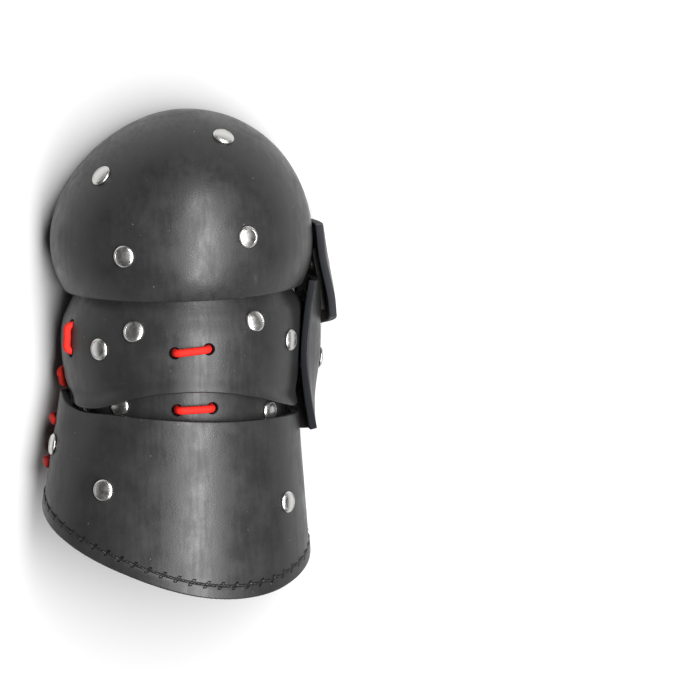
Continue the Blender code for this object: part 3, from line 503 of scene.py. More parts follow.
class Nodes:
    """Builds a material's node tree in short lines."""

    def __init__(self, name):
        self.material = bpy.data.materials.new(name)
        self.material.use_nodes = True
        self.tree = self.material.node_tree
        self.shader = self.tree.nodes["Principled BSDF"]

    def add(self, kind, **inputs):
        """New node with input values or links; keys are input names with underscores for spaces."""
        node = self.tree.nodes.new(kind)
        for key, value in inputs.items():
            self.put(node.inputs[key.replace("_", " ")], value)
        return node

    def put(self, socket, value):
        """Set a socket's value, or link another socket to it."""
        if isinstance(value, bpy.types.NodeSocket):
            self.tree.links.new(value, socket)
        else:
            socket.default_value = value

    def math(self, operation, first, second=0.0, third=0.0):
        """Math node's result."""
        node = self.tree.nodes.new("ShaderNodeMath")
        node.operation = operation
        for socket, value in zip(node.inputs, (first, second, third)):
            self.put(socket, value)
        return node.outputs[0]

    def ramp(self, value, low, high, to_low=0.0, to_high=1.0):
        """Value eased from one range to another."""
        node = self.tree.nodes.new("ShaderNodeMapRange")
        node.interpolation_type = "SMOOTHSTEP"
        for socket, number in zip(node.inputs, (value, low, high, to_low, to_high)):
            self.put(socket, number)
        return node.outputs[0]

    def noise(self, vector, scale, detail=3.0, roughness=0.5):
        """Noise between 0 and 1."""
        node = self.add("ShaderNodeTexNoise", Vector=vector, Scale=scale, Detail=detail,
                        Roughness=roughness)
        return node.outputs["Fac"]

    def blend(self, share, first, second):
        """Mix of two colours."""
        node = self.tree.nodes.new("ShaderNodeMix")
        node.data_type = "RGBA"
        for number, value in ((0, share), (6, first), (7, second)):
            self.put(node.inputs[number], value)
        return node.outputs[2]

    def bump(self, height, strength, distance, normal=None):
        """Bumped normal."""
        node = self.add("ShaderNodeBump", Height=height, Strength=strength, Distance=distance)
        if normal is not None:
            self.put(node.inputs["Normal"], normal)
        return node.outputs["Normal"]

    def finish(self, **inputs):
        """Set the shader's inputs and return the material."""
        for key, value in inputs.items():
            self.put(self.shader.inputs[key.replace("_", " ")], value)
        return self.material


def plate_leather(name, stitched=False):
    """Smooth black leather: fine grain, soft waves, small scuffs and pale specks."""
    make = Nodes(name)
    spot = make.add("ShaderNodeTexCoord").outputs["Object"]
    grain = make.noise(spot, 1500.0, 3.0, 0.6)
    pores = make.add("ShaderNodeTexVoronoi", Vector=spot, Scale=900.0).outputs["Distance"]
    waves = make.noise(spot, 26.0, 2.0)
    patches = make.noise(spot, 60.0, 5.0, 0.65)
    stretched = make.add("ShaderNodeMapping", Vector=spot, Scale=(1.0, 0.12, 0.6),
                         Rotation=(0.0, 0.0, 0.3)).outputs["Vector"]
    streaks = make.noise(stretched, 420.0, 2.0, 0.5)
    rubbed = make.ramp(patches, 0.52, 0.72)
    scratch = make.math("MULTIPLY", make.ramp(streaks, 0.66, 0.74), rubbed)
    speck = make.ramp(make.noise(spot, 700.0, 1.0, 0.3), 0.80, 0.84)
    tint = make.blend(patches, (0.012, 0.012, 0.0125, 1.0), (0.024, 0.024, 0.0245, 1.0))
    tint = make.blend(make.math("MULTIPLY", scratch, 0.35), tint, (0.06, 0.06, 0.062, 1.0))
    tint = make.blend(make.math("MULTIPLY", speck, 0.45), tint, (0.25, 0.25, 0.25, 1.0))
    rough = make.ramp(patches, 0.32, 0.68, 0.34, 0.47)
    rough = make.math("ADD", rough, make.ramp(streaks, 0.35, 0.65, -0.03, 0.04))
    rough = make.math("ADD", rough, make.math("MULTIPLY", scratch, 0.12))
    height = make.math("ADD", make.math("MULTIPLY", grain, 0.7), make.math("MULTIPLY", pores, 0.5))
    normal = make.bump(waves, 0.35, 0.0012)
    normal = make.bump(height, 0.35, 0.00012, normal)
    if stitched:
        place = make.add("ShaderNodeSeparateXYZ",
                         Vector=make.add("ShaderNodeUVMap").outputs["UV"])
        along, above = place.outputs["X"], place.outputs["Y"]
        offset = make.math("SUBTRACT", above, HEM_STITCH_UP)
        lean = make.math("ADD", along, make.math("MULTIPLY", offset, -0.75))
        turn = make.math("SUBTRACT", make.math("FRACT", make.math("DIVIDE", lean, HEM_PITCH)), 0.5)
        near = make.ramp(make.math("ABSOLUTE", make.math("MULTIPLY", turn, HEM_PITCH)), 1.0, 0.5)
        tall = make.ramp(make.math("ABSOLUTE", offset), 2.1, 1.5)
        slit = make.math("MULTIPLY", near, tall)
        line = make.ramp(make.math("ABSOLUTE", offset), 0.9, 0.1)
        # The slits and the stitch groove are painted darker: painted shade in these recesses, beside the
        # bump that dips them.
        tint = make.blend(slit, tint, (0.003, 0.003, 0.003, 1.0))
        tint = make.blend(make.math("MULTIPLY", line, 0.6), tint, (0.010, 0.010, 0.010, 1.0))
        dip = make.math("SUBTRACT", 0.0, make.math("ADD", slit, make.math("MULTIPLY", line, 0.5)))
        normal = make.bump(dip, 1.0, 0.0008, normal)
    return make.finish(Base_Color=tint, Roughness=rough, Normal=normal, IOR=1.4)


def cut_edge():
    """Cut leather edge: dyed blue-grey, with faint layers along the fibre."""
    make = Nodes("cut_edge")
    spot = make.add("ShaderNodeTexCoord").outputs["Object"]
    fibres = make.noise(spot, 1400.0, 4.0, 0.7)
    patches = make.noise(spot, 90.0, 3.0)
    tint = make.blend(patches, (0.004, 0.0045, 0.006, 1.0), (0.010, 0.011, 0.014, 1.0))
    return make.finish(Base_Color=tint, Roughness=0.6, Normal=make.bump(fibres, 0.5, 0.0002), IOR=1.3)


def flesh_side():
    """Inner side of the leather: dull and fibrous."""
    make = Nodes("flesh_side")
    spot = make.add("ShaderNodeTexCoord").outputs["Object"]
    fibres = make.noise(spot, 1900.0, 5.0, 0.75)
    patches = make.noise(spot, 120.0, 4.0, 0.6)
    tint = make.blend(patches, (0.008, 0.007, 0.006, 1.0), (0.020, 0.017, 0.014, 1.0))
    return make.finish(Base_Color=tint, Roughness=0.86, Normal=make.bump(fibres, 0.8, 0.0004))


def strap_leather():
    """Softer black strap leather with a pebbled grain."""
    make = Nodes("strap_leather_look")
    spot = make.add("ShaderNodeTexCoord").outputs["Object"]
    pebble = make.add("ShaderNodeTexVoronoi", Vector=spot, Scale=1000.0).outputs["Distance"]
    patches = make.noise(spot, 150.0, 4.0)
    tint = make.blend(patches, (0.010, 0.009, 0.008, 1.0), (0.022, 0.020, 0.018, 1.0))
    return make.finish(Base_Color=tint, Roughness=0.62, Normal=make.bump(pebble, 0.5, 0.0002))


def nickel():
    """Nickel plate, lightly scratched and dulled."""
    make = Nodes("nickel_look")
    spot = make.add("ShaderNodeTexCoord").outputs["Object"]
    cloud = make.noise(spot, 300.0, 3.0, 0.5)
    stretched = make.add("ShaderNodeMapping", Vector=spot, Scale=(1.0, 0.15, 1.0),
                         Rotation=(0.0, 0.0, 0.7)).outputs["Vector"]
    marks = make.noise(stretched, 2200.0, 2.0)
    tint = make.blend(cloud, (0.56, 0.555, 0.54, 1.0), (0.66, 0.65, 0.635, 1.0))
    rough = make.ramp(cloud, 0.3, 0.7, 0.30, 0.42)
    return make.finish(Base_Color=tint, Metallic=1.0, Roughness=rough,
                       Normal=make.bump(marks, 0.12, 0.00004))


def painted_shade_tail():
    """Rivets' inner ends: their nickel painted dark as painted shade, for the shade inside the plates."""
    make = Nodes("painted_shade_tail_look")
    spot = make.add("ShaderNodeTexCoord").outputs["Object"]
    cloud = make.noise(spot, 400.0, 3.0, 0.6)
    # Dark tint: painted shade for the inside of the plates, not dulled metal.
    tint = make.blend(cloud, (0.05, 0.048, 0.045, 1.0), (0.12, 0.115, 0.11, 1.0))
    return make.finish(Base_Color=tint, Metallic=1.0, Roughness=0.55,
                       Normal=make.bump(cloud, 0.2, 0.0001))


def red_elastic():
    """Braided elastic: two sets of slanting strands round the cord."""
    make = Nodes("red_elastic_look")
    place = make.add("ShaderNodeSeparateXYZ", Vector=make.add("ShaderNodeUVMap").outputs["UV"])
    around, along = place.outputs["X"], place.outputs["Y"]
    heights = []
    for lean in (1.0, -1.0):
        phase = make.math("ADD", make.math("MULTIPLY", around, 8.0 * lean), along)
        wave = make.math("SINE", make.math("MULTIPLY", phase, 2.0 * math.pi))
        heights.append(make.math("ABSOLUTE", wave))
    weave = make.math("MAXIMUM", heights[0], heights[1])
    # The tint is darker in the grooves between strands and lighter on their crests: painted shade.
    tint = make.blend(weave, (0.34, 0.006, 0.003, 1.0), (0.62, 0.012, 0.005, 1.0))
    return make.finish(Base_Color=tint, Roughness=0.7, Normal=make.bump(weave, 0.6, 0.0003), IOR=1.35)


def thread_look():
    """Waxed black thread, twisted."""
    make = Nodes("black_thread")
    place = make.add("ShaderNodeSeparateXYZ", Vector=make.add("ShaderNodeUVMap").outputs["UV"])
    phase = make.math("ADD", make.math("MULTIPLY", place.outputs["X"], 2.0), place.outputs["Y"])
    twist = make.math("SINE", make.math("MULTIPLY", phase, 2.0 * math.pi))
    # The tint is darker between the twisted plies and lighter on their crests: painted shade.
    tint = make.blend(twist, (0.004, 0.004, 0.004, 1.0), (0.012, 0.012, 0.012, 1.0))
    return make.finish(Base_Color=tint, Roughness=0.5, Normal=make.bump(twist, 0.5, 0.0002))


def floor_look():
    """Plain pale floor."""
    make = Nodes("floor_look")
    spot = make.add("ShaderNodeTexCoord").outputs["Object"]
    tint = make.blend(make.noise(spot, 4.0), (0.43, 0.43, 0.43, 1.0), (0.44, 0.44, 0.44, 1.0))
    return make.finish(Base_Color=tint, Roughness=0.9)


LOOKS = {
    "plate_leather": plate_leather("plate_leather_look"),
    "cuff_leather": plate_leather("cuff_leather_look", True),
    "cut_edge": cut_edge(),
    "flesh_side": flesh_side(),
    "strap_leather": strap_leather(),
    "nickel": nickel(),
    "painted_shade_tail": painted_shade_tail(),
    "elastic": red_elastic(),
    "thread": thread_look(),
}


def grid(name, columns, rows, point, flat_place=None):
    """Open sheet from a function of two shares, its faces looking outwards, with flat places as UV."""
    bm = bmesh.new()
    layer = bm.loops.layers.uv.new("flat")
    table = [[bm.verts.new(point(i / columns, j / rows) * MM + SHIFT) for i in range(columns + 1)]
             for j in range(rows + 1)]
    for j in range(rows):
        for i in range(columns):
            corners = ((j, i), (j + 1, i), (j + 1, i + 1), (j, i + 1))
            face = bm.faces.new([table[row][column] for row, column in corners])
            if flat_place:
                for loop, (row, column) in zip(face.loops, corners):
                    loop[layer].uv = flat_place(column / columns, row / rows)
    mesh = bpy.data.meshes.new(name)
    bm.to_mesh(mesh)
    bm.free()
    return mesh


def turned(bm, place, normal, profile, segments):
    """Turn a profile of radius and height about a normal; its first and last points lie on the axis."""
    turn = normal.to_track_quat("Z", "Y").to_matrix()
    rings = []
    for radius, height in profile:
        if radius == 0.0:
            rings.append([bm.verts.new((place + normal * height) * MM + SHIFT)])
            continue
        ring = []
        for k in range(segments):
            angle = 2.0 * math.pi * k / segments
            spoke = turn @ Vector((radius * math.cos(angle), radius * math.sin(angle), height))
            ring.append(bm.verts.new((place + spoke) * MM + SHIFT))
        rings.append(ring)
    for above, below in zip(rings, rings[1:]):
        for k in range(segments):
            near = (k + 1) % segments
            if len(above) == 1:
                bm.faces.new((above[0], below[k], below[near]))
            elif len(below) == 1:
                bm.faces.new((above[k], below[0], above[near]))
            else:
                bm.faces.new((above[k], below[k], below[near], above[near]))


def joined_cutter(name, holes):
    """All punches of one plate as one object, each a little wider at the outer face."""
    bm = bmesh.new()
    for place, normal, radius, depth in holes:
        flare = [(radius + wider, height) for wider, height in HOLE_FLARE]
        profile = [(0.0, PUNCH_PAST)] + flare + [(radius, -depth), (0.0, -depth)]
        turned(bm, place, normal, profile, HOLE_SEGMENTS)
    mesh = bpy.data.meshes.new(name)
    bm.to_mesh(mesh)
    bm.free()
    return bpy.data.objects.new(name, mesh)


def thickened(sheet, wall, rounding):
    """Closed leather piece from a sheet: grain side outside, flesh side inside, rounded cut edge."""
    bm = bmesh.new()
    bm.from_mesh(sheet)
    bm.normal_update()
    layer = bm.loops.layers.uv.verify()
    outside = bm.faces[:]
    places = {vert: (vert.co.copy(), vert.normal.copy()) for vert in bm.verts}
    ways = {}
    rim_edges = []
    for edge in bm.edges:
        if len(edge.link_loops) != 1:
            continue
        loop = edge.link_loops[0]
        start, end = loop.vert, loop.link_loop_next.vert
        away = (end.co - start.co).cross(loop.face.normal).normalized()
        rim_edges.append((start, end, loop[layer].uv.copy(), loop.link_loop_next[layer].uv.copy()))
        for vert in (start, end):
            ways[vert] = ways.get(vert, Vector()) + away
    wall, rounding = wall * MM, rounding * MM
    for vert, way in ways.items():
        way -= places[vert][1] * way.dot(places[vert][1])
        ways[vert] = way.normalized()
    below = {}
    for vert, (place, normal) in places.items():
        inset = ways[vert] * rounding if vert in ways else Vector()
        vert.co = place - inset
        below[vert] = bm.verts.new(place - inset - normal * wall)
    for face in outside:
        inner = bm.faces.new([below[vert] for vert in reversed(face.verts)])
        inner.material_index = 1
    steps = []
    for turn in ROUNDING_TURNS:
        sine, cosine = math.sin(math.radians(turn)), math.cos(math.radians(turn))
        steps.append((rounding * (sine - 1.0), rounding * (1.0 - cosine)))
    steps += [(out, wall - down) for out, down in reversed(steps)]
    rings = {vert: [vert] + [bm.verts.new(places[vert][0] + ways[vert] * out - places[vert][1] * down)
                             for out, down in steps] + [below[vert]] for vert in ways}
    for start, end, start_uv, end_uv in rim_edges:
        for k in range(len(steps) + 1):
            face = bm.faces.new((rings[start][k], rings[start][k + 1], rings[end][k + 1], rings[end][k]))
            face.material_index = 0 if k < 2 else 2
            for loop, spot in zip(face.loops, (start_uv, start_uv, end_uv, end_uv)):
                loop[layer].uv = spot
    bm.to_mesh(sheet)
    bm.free()


def finished_plate(name, node, mesh, looks, wall, rounding, holes):
    """Thicken a sheet, punch its holes and put it in place of a CAD node."""
    thickened(mesh, wall, rounding)
    thing = bpy.data.objects.new(name, mesh)
    bpy.context.scene.collection.objects.link(thing)
    for look in looks:
        mesh.materials.append(LOOKS[look])
    if holes:
        cutter = joined_cutter("holes_" + name, holes)
        cutter.data.materials.append(LOOKS["cut_edge"])
        bpy.context.scene.collection.objects.link(cutter)
        punch = thing.modifiers.new("punch", "BOOLEAN")
        punch.operation = "DIFFERENCE"
        punch.solver = "EXACT"
        punch.use_self = True
        punch.object = cutter
        graph = bpy.context.evaluated_depsgraph_get()
        done = bpy.data.meshes.new_from_object(thing.evaluated_get(graph), depsgraph=graph)
        done.name = name
        thing.modifiers.clear()
        thing.data = done
        bpy.data.objects.remove(cutter, do_unlink=True)
    thing.data.shade_smooth()
    thing.data.set_sharp_from_angle(angle=SHARP_LEATHER)
    return seated(thing, node)


def seated(thing, node):
    """Let a piece ride on the frame and stand for a CAD node."""
    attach(thing, "root")
    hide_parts(node)
    return thing


def tube(name, route, radius, sides, closed, turn_length):
    """Round tube along a route, with UV round and along it; a closed one joins without a twist."""
    count = len(route)
    last = count if closed else count - 1
    tangents = []
    for i in range(count):
        before = route[i - 1] if closed or i else route[0]
        after = route[(i + 1) % count] if closed or i < count - 1 else route[-1]
        tangents.append((after - before).normalized())
    side = tangents[0].orthogonal().normalized()
    sides_at = []
    for tangent in tangents:
        side = (side - tangent * side.dot(tangent)).normalized()
        sides_at.append(side)
    slip = 0.0
    if closed:
        end = (sides_at[-1] - tangents[0] * sides_at[-1].dot(tangents[0])).normalized()
        slip = math.atan2(tangents[0].dot(end.cross(sides_at[0])), end.dot(sides_at[0]))
    lengths = [0.0]
    for i in range(last):
        lengths.append(lengths[-1] + (route[(i + 1) % count] - route[i]).length)
    bm = bmesh.new()
    layer = bm.loops.layers.uv.new("flat")
    rings = []
    for i in range(count):
        angle_slip = slip * i / count
        other = tangents[i].cross(sides_at[i])
        ring = []
        for k in range(sides):
            turn = 2.0 * math.pi * k / sides + angle_slip
            spoke = sides_at[i] * math.cos(turn) + other * math.sin(turn)
            ring.append(bm.verts.new((route[i] + spoke * radius) * MM + SHIFT))
        rings.append(ring)
    for i in range(last):
        for k in range(sides):
            near, far = rings[i], rings[(i + 1) % count]
            face = bm.faces.new((near[k], near[(k + 1) % sides], far[(k + 1) % sides], far[k]))
            spots = ((k, i), (k + 1, i), (k + 1, i + 1), (k, i + 1))
            for loop, (across, down) in zip(face.loops, spots):
                loop[layer].uv = (across / sides, lengths[down] / turn_length)
    if not closed:
        bm.faces.new(reversed(rings[0]))
        bm.faces.new(rings[-1])
    mesh = bpy.data.meshes.new(name)
    bm.to_mesh(mesh)
    bm.free()
    mesh.shade_smooth()
    thing = bpy.data.objects.new(name, mesh)
    bpy.context.scene.collection.objects.link(thing)
    return thing


def plate_holes(plate):
    """Cord holes punched in one plate."""
    return [(hole["place"], hole["normal"], PUNCH_RADIUS, hole["wall"] + PUNCH_PAST)
            for lace in LACES for hole in lace["holes"] if hole["plate"] == plate]


def dome_sheet(subdivisions):
    """Dome surface, cut at the floor and the slanting rim; points close to a cut are moved onto it."""
    bm = bmesh.new()
    bmesh.ops.create_icosphere(bm, subdivisions=subdivisions, radius=DOME_RADIUS)
    for vert in bm.verts:
        ahead = vert.co.y if vert.co.y > 0.0 else vert.co.y * DOME_BACK_RADIUS / DOME_RADIUS
        y = DOME_CENTRE_Y + ahead
        x, z = on_section(dome_section(y), math.degrees(math.atan2(vert.co.x, vert.co.z)))
        if abs(z) < DOME_SNAP:
            z = 0.0
        if abs(y - dome_rim_y(x)) < DOME_SNAP:
            y = dome_rim_y(x)
        vert.co = Vector((x, y, z)) * MM + SHIFT
    rim = Vector((DOME_CENTRE_X, dome_rim_y(DOME_CENTRE_X), 0.0)) * MM + SHIFT
    rim_way = Vector((-math.sin(DOME_RIM_SLANT), math.cos(DOME_RIM_SLANT), 0.0))
    for spot, way in ((SHIFT, Vector((0.0, 0.0, 1.0))), (rim, rim_way)):
        bmesh.ops.bisect_plane(bm, geom=bm.verts[:] + bm.edges[:] + bm.faces[:],
                               dist=DOME_CUT_PLAY * MM, plane_co=spot, plane_no=way, clear_inner=True)
    mesh = bpy.data.meshes.new("dome_shell")
    bm.to_mesh(mesh)
    bm.free()
    return mesh


def hand_sheet(columns, rows):
    """Hand plate surface with its rolled wrist edge."""
    span = HAND_THUMB_ANGLE - HAND_PINKY_ANGLE

    def point(across, down):
        angle = HAND_PINKY_ANGLE + span * across
        y = HAND_FRONT_Y + (hand_edge_y(angle) - HAND_FRONT_Y) * down
        return hand_point(hand_wing(angle, y), y)

    return grid("hand_shell", columns, rows, point)


def lame_sheet(columns, rows):
    """Wrist lame surface."""
    span = LAME_THUMB_ANGLE - LAME_PINKY_ANGLE

    def point(across, down):
        angle = LAME_PINKY_ANGLE + span * across
        return SURFACES["lame"](angle, LAME_FRONT_Y + (LAME_BACK_Y - LAME_FRONT_Y) * down)

    return grid("lame_shell", columns, rows, point)


def hem_line(up):
    """Points along the cuff a distance above its hem, from one side of the slit to the other."""
    angles = [CUFF_START_ANGLE + CUFF_SPAN_ANGLE * i / HEM_STEPS for i in range(HEM_STEPS + 1)]
    return [cuff_point(angle, cuff_hem_y(angle) + up) for angle in angles]


def hem_raised(angle, up, lift=0.0):
    """Point a distance above the hem, lifted by the stitched band and a distance more."""
    y = cuff_hem_y(angle) + up
    band = 1.0 - smooth(HEM_STITCH_UP - HEM_FADE_BELOW, HEM_STITCH_UP + HEM_FADE_ABOVE, up)
    return cuff_point(angle, y) + outward(cuff_point, angle, y) * (lift + HEM_BAND_RISE * band)


def running_length(points):
    """Length along a line up to each of its points."""
    lengths = [0.0]
    for before, after in zip(points, points[1:]):
        lengths.append(lengths[-1] + (after - before).length)
    return lengths


def at_share(values, share):
    """Read an evenly spaced list at a share of its length."""
    place = min(max(share, 0.0), 1.0) * (len(values) - 1)
    low = min(int(place), len(values) - 2)
    return values[low] + (values[low + 1] - values[low]) * (place - low)


def cuff_sheet(columns, rows):
    """Cuff surface: rows close together at the hem, where the stitched band stands a little proud."""
    lengths = running_length(hem_line(HEM_STITCH_UP))

    def ups(across, down):
        angle = CUFF_START_ANGLE + CUFF_SPAN_ANGLE * across
        height = cuff_rim_y(angle) - cuff_hem_y(angle)
        if down > CUFF_BAND_START:
            return angle, HEM_BAND * (1.0 - down) / (1.0 - CUFF_BAND_START)
        return angle, height + (HEM_BAND - height) * down / CUFF_BAND_START

    def point(across, down):
        angle, up = ups(across, down)
        return hem_raised(angle, up)

    def flat_place(across, down):
        return at_share(lengths, across), ups(across, down)[1]

    return grid("cuff_shell", columns, rows, point, flat_place)


def thumb_sheet(name, rows_table, slant, columns, rows):
    """Surface of a thumb lame, its wrist end cut slanting."""
    first, last = rows_table[0]["y"], rows_table[-1]["y"]

    def point(across, down):
        place = thumb_point(rows_table, first + (last - first) * down, across)
        place.y -= slant * across * down
        return place

    return grid(name, columns, rows, point)


def rivet_piece(node, place, normal, grip):
    """Turned rivet: flat top with a pressed ring, bevelled rim, shank and tail."""
    deep = -(grip + STRAP_GAP)
    shank = [(RIVET_SHANK_RADIUS, RIVET_SEAT), (RIVET_SHANK_RADIUS, deep)]
    tail = [(RIVET_TAIL_RADIUS - TAIL_CHAMFER, deep), (RIVET_TAIL_RADIUS, deep - TAIL_CHAMFER),
            (RIVET_TAIL_RADIUS - TAIL_CHAMFER, deep - TAIL_EDGE), (0.0, deep - RIVET_TAIL_HEIGHT)]
    # Faces from here on are the tail, which gets the dark tail look: painted shade.
    painted_shade_from = len(HEAD_PROFILE) + len(shank) - 1
    bm = bmesh.new()
    turned(bm, place, normal, HEAD_PROFILE + shank + tail, RIVET_SEGMENTS)
    mesh = bpy.data.meshes.new(node + "_head")
    bm.to_mesh(mesh)
    bm.free()
    mesh.shade_smooth()
    mesh.set_sharp_from_angle(angle=SHARP_METAL)
    mesh.materials.append(LOOKS["nickel"])
    mesh.materials.append(LOOKS["painted_shade_tail"])
    for face in mesh.polygons:
        if face.index // RIVET_SEGMENTS >= painted_shade_from:
            face.material_index = 1
    thing = bpy.data.objects.new(node + "_turned", mesh)
    bpy.context.scene.collection.objects.link(thing)
    return seated(thing, node)


def loop_curve(points, samples):
    """Closed smooth curve through a loop's own points."""
    count = len(points)
    route = []
    for i in range(count):
        p0, p1, p2, p3 = (points[(i + k - 1) % count] for k in range(4))
        for step in range(samples):
            t = step / samples
            route.append(0.5 * ((2.0 * p1) + (p2 - p0) * t + (2.0 * p0 - 5.0 * p1 + 4.0 * p2 - p3) * t * t
                                + (3.0 * p1 - p0 - 3.0 * p2 + p3) * t ** 3))
    return route


def stitch_points(holes, bows):
    """Route of a loop through its holes, outside between holes 0 and 1, 2 and 3, inside otherwise."""
    points = []
    count = len(holes)
    for i, hole in enumerate(holes):
        outer_first = i % 2 == 1
        other = holes[i - 1] if outer_first else holes[(i + 1) % count]
        inner = holes[(i + 1) % count] if outer_first else holes[i - 1]
        to_outer = (other["place"] - hole["place"]).normalized()
        to_inner = (inner["place"] - hole["place"]).normalized()
        over = hole["place"] + hole["normal"] * CORD_REST + to_outer * CORD_REACH
        top = hole["place"] - hole["normal"] * CORD_SINK + to_outer * CORD_LEAD
        low = hole["place"] - hole["normal"] * (hole["wall"] - CORD_SINK)
        under = hole["place"] - hole["normal"] * (hole["wall"] + hole["under"]) + to_inner * CORD_REACH
        points += [over, top, low, under] if outer_first else [under, low, top, over]
        if not outer_first:
            half = 0.5 * (hole["place"] + other["place"])
            normal = (hole["normal"] + other["normal"]).normalized()
            points.append(half + normal * (CORD_REST + bows[i // 2]))
    return points


def cord_hole(plate, angle, y, under):
    """One punched hole of a lace."""
    surface = SURFACES[plate]
    return {"plate": plate, "place": surface(angle, y), "normal": outward(surface, angle, y),
            "wall": WALLS[plate], "under": CORD_DIAMETER / 2.0 + CORD_LIFT + under}


LACES = [
    {"node": "elastic_back", "bows": (0.3, 0.3), "holes": [
        cord_hole("hand", 4.9, 10.2, 8.0), cord_hole("hand", -10.8, 8.3, 8.0),
        cord_hole("lame", -10.2, -22.5, 0.7), cord_hole("lame", 9.1, -21.8, 0.7)]},
    {"node": "elastic_side", "bows": (0.0, -0.3), "holes": [
        cord_hole("hand", -74.5, 17.2, 8.0), cord_hole("hand", -73.0, 3.4, 0.5),
        cord_hole("hand", -94.0, -8.6, 0.5), cord_hole("hand", -93.0, -17.6, 8.0)]},
    {"node": "elastic_cuff", "bows": (6.0, 6.0), "holes": [
        cord_hole("cuff", -95.0, -36.2, 1.0), cord_hole("cuff", -132.0, -36.2, 1.0),
        cord_hole("cuff", -132.0, -59.0, 1.0), cord_hole("cuff", -95.0, -59.0, 1.0)]},
]


def thumb_spot(rows, y, share):
    """Point of a thumb lame and the lame's outward normal there."""
    step = 0.02
    down = thumb_point(rows, y, share + step) - thumb_point(rows, y, share - step)
    back = thumb_point(rows, y - 1.0, share) - thumb_point(rows, y + 1.0, share)
    normal = down.cross(back).normalized()
    if normal.x < 0.0:
        normal = -normal
    return thumb_point(rows, y, share), normal


LEATHER = ("plate_leather", "flesh_side", "cut_edge")
CUFF_LEATHER = ("cuff_leather", "flesh_side", "cut_edge")
finished_plate("finger_dome_shell", "finger_dome", dome_sheet(6), LEATHER, PLATE_WALL,
               EDGE_ROUNDING, [])
finished_plate("hand_plate_shell", "hand_plate", hand_sheet(150, 64), LEATHER, PLATE_WALL,
               HAND_EDGE_ROUNDING, plate_holes("hand"))
finished_plate("wrist_lame_shell", "wrist_lame", lame_sheet(120, 24), LEATHER, LAME_WALL,
               LAME_EDGE_ROUNDING, plate_holes("lame"))
finished_plate("cuff_shell", "cuff", cuff_sheet(280, 44), CUFF_LEATHER, PLATE_WALL,
               EDGE_ROUNDING, plate_holes("cuff"))
thumb_base = thumb_sheet("thumb_base_shell", THUMB_BASE_ROWS, THUMB_BASE_SLANT, 30, 50)
finished_plate("thumb_base_shell", "thumb_base_lame", thumb_base, LEATHER, PLATE_WALL,
               LAME_EDGE_ROUNDING, [])
thumb_tip = thumb_sheet("thumb_tip_shell", THUMB_TIP_ROWS, THUMB_TIP_SLANT, 24, 36)
finished_plate("thumb_tip_shell", "thumb_tip_lame", thumb_tip, LEATHER, PLATE_WALL,
               LAME_EDGE_ROUNDING, [])

for row in RIVETS:
    surface = SURFACES[row["plate"]]
    grip = WALLS[row["plate"]] + row.get("slack", 0.0) + (STRAP_GAP + STRAP_WALL) * row["strap"]
    place = surface(row["angle"], row["y"])
    rivet_piece(row["name"], place, outward(surface, row["angle"], row["y"]), grip)
for node, rows, y, share, grip in THUMB_RIVETS:
    place, normal = thumb_spot(rows, y, share)
    rivet_piece(node, place, normal, grip)

for lace in LACES:
    route = loop_curve(stitch_points(lace["holes"], lace["bows"]), CORD_SAMPLES)
    cord = tube(lace["node"] + "_cord", route, CORD_DIAMETER / 2.0, CORD_SIDES, True, CORD_BRAID_PITCH)
    cord.data.materials.append(LOOKS["elastic"])
    seated(cord, lace["node"])


def hem_threads():
    """Saddle stitches: a short thread from each slit to the next, dipping in at both ends."""
    lengths = running_length(hem_line(HEM_STITCH_UP))

    def spot(along, up, lift):
        share = 0.0
        for i, length in enumerate(lengths[1:]):
            if length >= along:
                share = (i + (along - lengths[i]) / (length - lengths[i])) / HEM_STEPS
                break
        return hem_raised(CUFF_START_ANGLE + CUFF_SPAN_ANGLE * share, up, lift)

    parts = []
    count = int(lengths[-1] / HEM_PITCH)
    for k in range(count - 1):
        middle = HEM_PITCH * (k + 0.5)
        route = []
        for step in range(THREAD_STEPS + 1):
            t = step / THREAD_STEPS
            lift = THREAD_RADIUS * (THREAD_BOW * math.sin(math.pi * t) - THREAD_SINK)
            up = HEM_STITCH_UP + THREAD_LEAN * (0.5 - t)
            along = middle + (HEM_PITCH - THREAD_GAP) * t + 0.5 * THREAD_GAP
            route.append(spot(along, up, min(lift, THREAD_TOP)))
        parts.append(tube(f"stitch_{k}", route, THREAD_RADIUS, THREAD_SIDES, False, THREAD_TWIST))
    bm = bmesh.new()
    for part in parts:
        bm.from_mesh(part.data)
        bpy.data.objects.remove(part, do_unlink=True)
    whole = bpy.data.meshes.new("hem_stitches")
    bm.to_mesh(whole)
    bm.free()
    whole.shade_smooth()
    whole.materials.append(LOOKS["thread"])
    thing = bpy.data.objects.new("hem_stitches", whole)
    bpy.context.scene.collection.objects.link(thing)
    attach(thing, "root")


hem_threads()

for node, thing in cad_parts.items():
    if node.startswith("strap"):
        thing.data.materials.clear()
        thing.data.materials.append(LOOKS["strap_leather"])

floor_mesh = bpy.data.meshes.new("floor")
floor_corners = [(x * FLOOR_HALF, y * FLOOR_HALF, 0.0) for x, y in ((-1, -1), (1, -1), (1, 1), (-1, 1))]
floor_mesh.from_pydata(floor_corners, [], [(0, 1, 2, 3)])
floor = bpy.data.objects.new("floor", floor_mesh)
bpy.context.scene.collection.objects.link(floor)
floor_mesh.materials.append(floor_look())

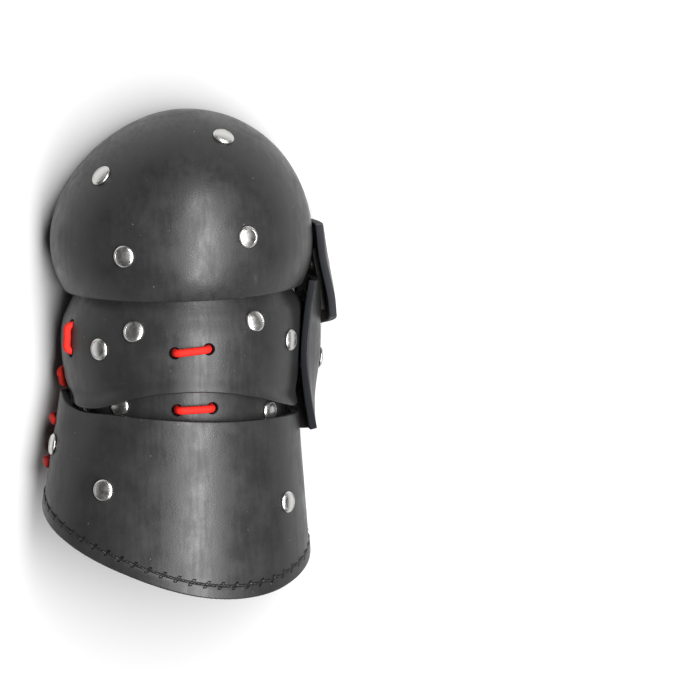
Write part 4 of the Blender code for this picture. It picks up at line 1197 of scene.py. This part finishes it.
world = bpy.context.scene.world or bpy.data.worlds.new("studio")
bpy.context.scene.world = world
world.use_nodes = True
tree = world.node_tree
way = tree.nodes.new("ShaderNodeTexCoord")
split = tree.nodes.new("ShaderNodeSeparateXYZ")
brighter = tree.nodes.new("ShaderNodeMapRange")
brighter.inputs["From Min"].default_value = 0.0
brighter.inputs["From Max"].default_value = 1.0
brighter.inputs["To Min"].default_value = WORLD_LOW
brighter.inputs["To Max"].default_value = WORLD_HIGH
tree.links.new(way.outputs["Generated"], split.inputs["Vector"])
tree.links.new(split.outputs["Z"], brighter.inputs["Value"])
tree.links.new(brighter.outputs["Result"], tree.nodes["Background"].inputs["Strength"])


def soft_light(name, place, aim, size, power):
    """Rectangular soft light aimed at a point, its second size along the gauntlet."""
    lamp = bpy.data.lights.new(name, "AREA")
    lamp.shape = "RECTANGLE"
    lamp.size, lamp.size_y = size
    lamp.energy = power
    thing = bpy.data.objects.new(name, lamp)
    thing.location = place
    thing.rotation_mode = "QUATERNION"
    back = (Vector(place) - Vector(aim)).normalized()
    across = Vector((0.0, 1.0, 0.0)).cross(back).normalized()
    thing.rotation_quaternion = Matrix((across, back.cross(across), back)).transposed().to_quaternion()
    bpy.context.scene.collection.objects.link(thing)


soft_light("key_light", KEY_PLACE, KEY_AIM, KEY_SIZE, KEY_POWER)

TO_CAMERA = Vector((-0.13, 0.155, 0.98)).normalized()
CAMERA_RIGHT = Vector((0.991, 0.0, 0.131)).normalized()
CAMERA_UP = TO_CAMERA.cross(CAMERA_RIGHT)
camera_data = bpy.data.cameras.new("camera")
camera_data.sensor_width = SENSOR_WIDTH
camera_data.lens = SENSOR_WIDTH * CAMERA_DISTANCE / (PICTURE_ELEMENTS * PIXEL)
camera_data.clip_start = 0.1
camera_data.clip_end = 20.0
camera = bpy.data.objects.new("camera", camera_data)
bpy.context.scene.collection.objects.link(camera)

# The picture's middle lies beside the gauntlet, so the camera stands square to the back of the hand
# and turns towards a point on that side.
middle = TO_CAMERA * CAMERA_FOCUS * MM + SHIFT
camera.location = middle + TO_CAMERA * CAMERA_DISTANCE * MM
target = middle + (CAMERA_RIGHT * CAMERA_AIM_RIGHT + CAMERA_UP * CAMERA_AIM_UP) * MM

back = (camera.location - target).normalized()
side = CAMERA_UP.cross(back).normalized()
turn = Matrix((side, back.cross(side), back)).transposed()
camera.rotation_mode = "QUATERNION"
camera.rotation_quaternion = turn.to_quaternion()
bpy.context.scene.camera = camera
bpy.context.scene.view_settings.view_transform = "Standard"
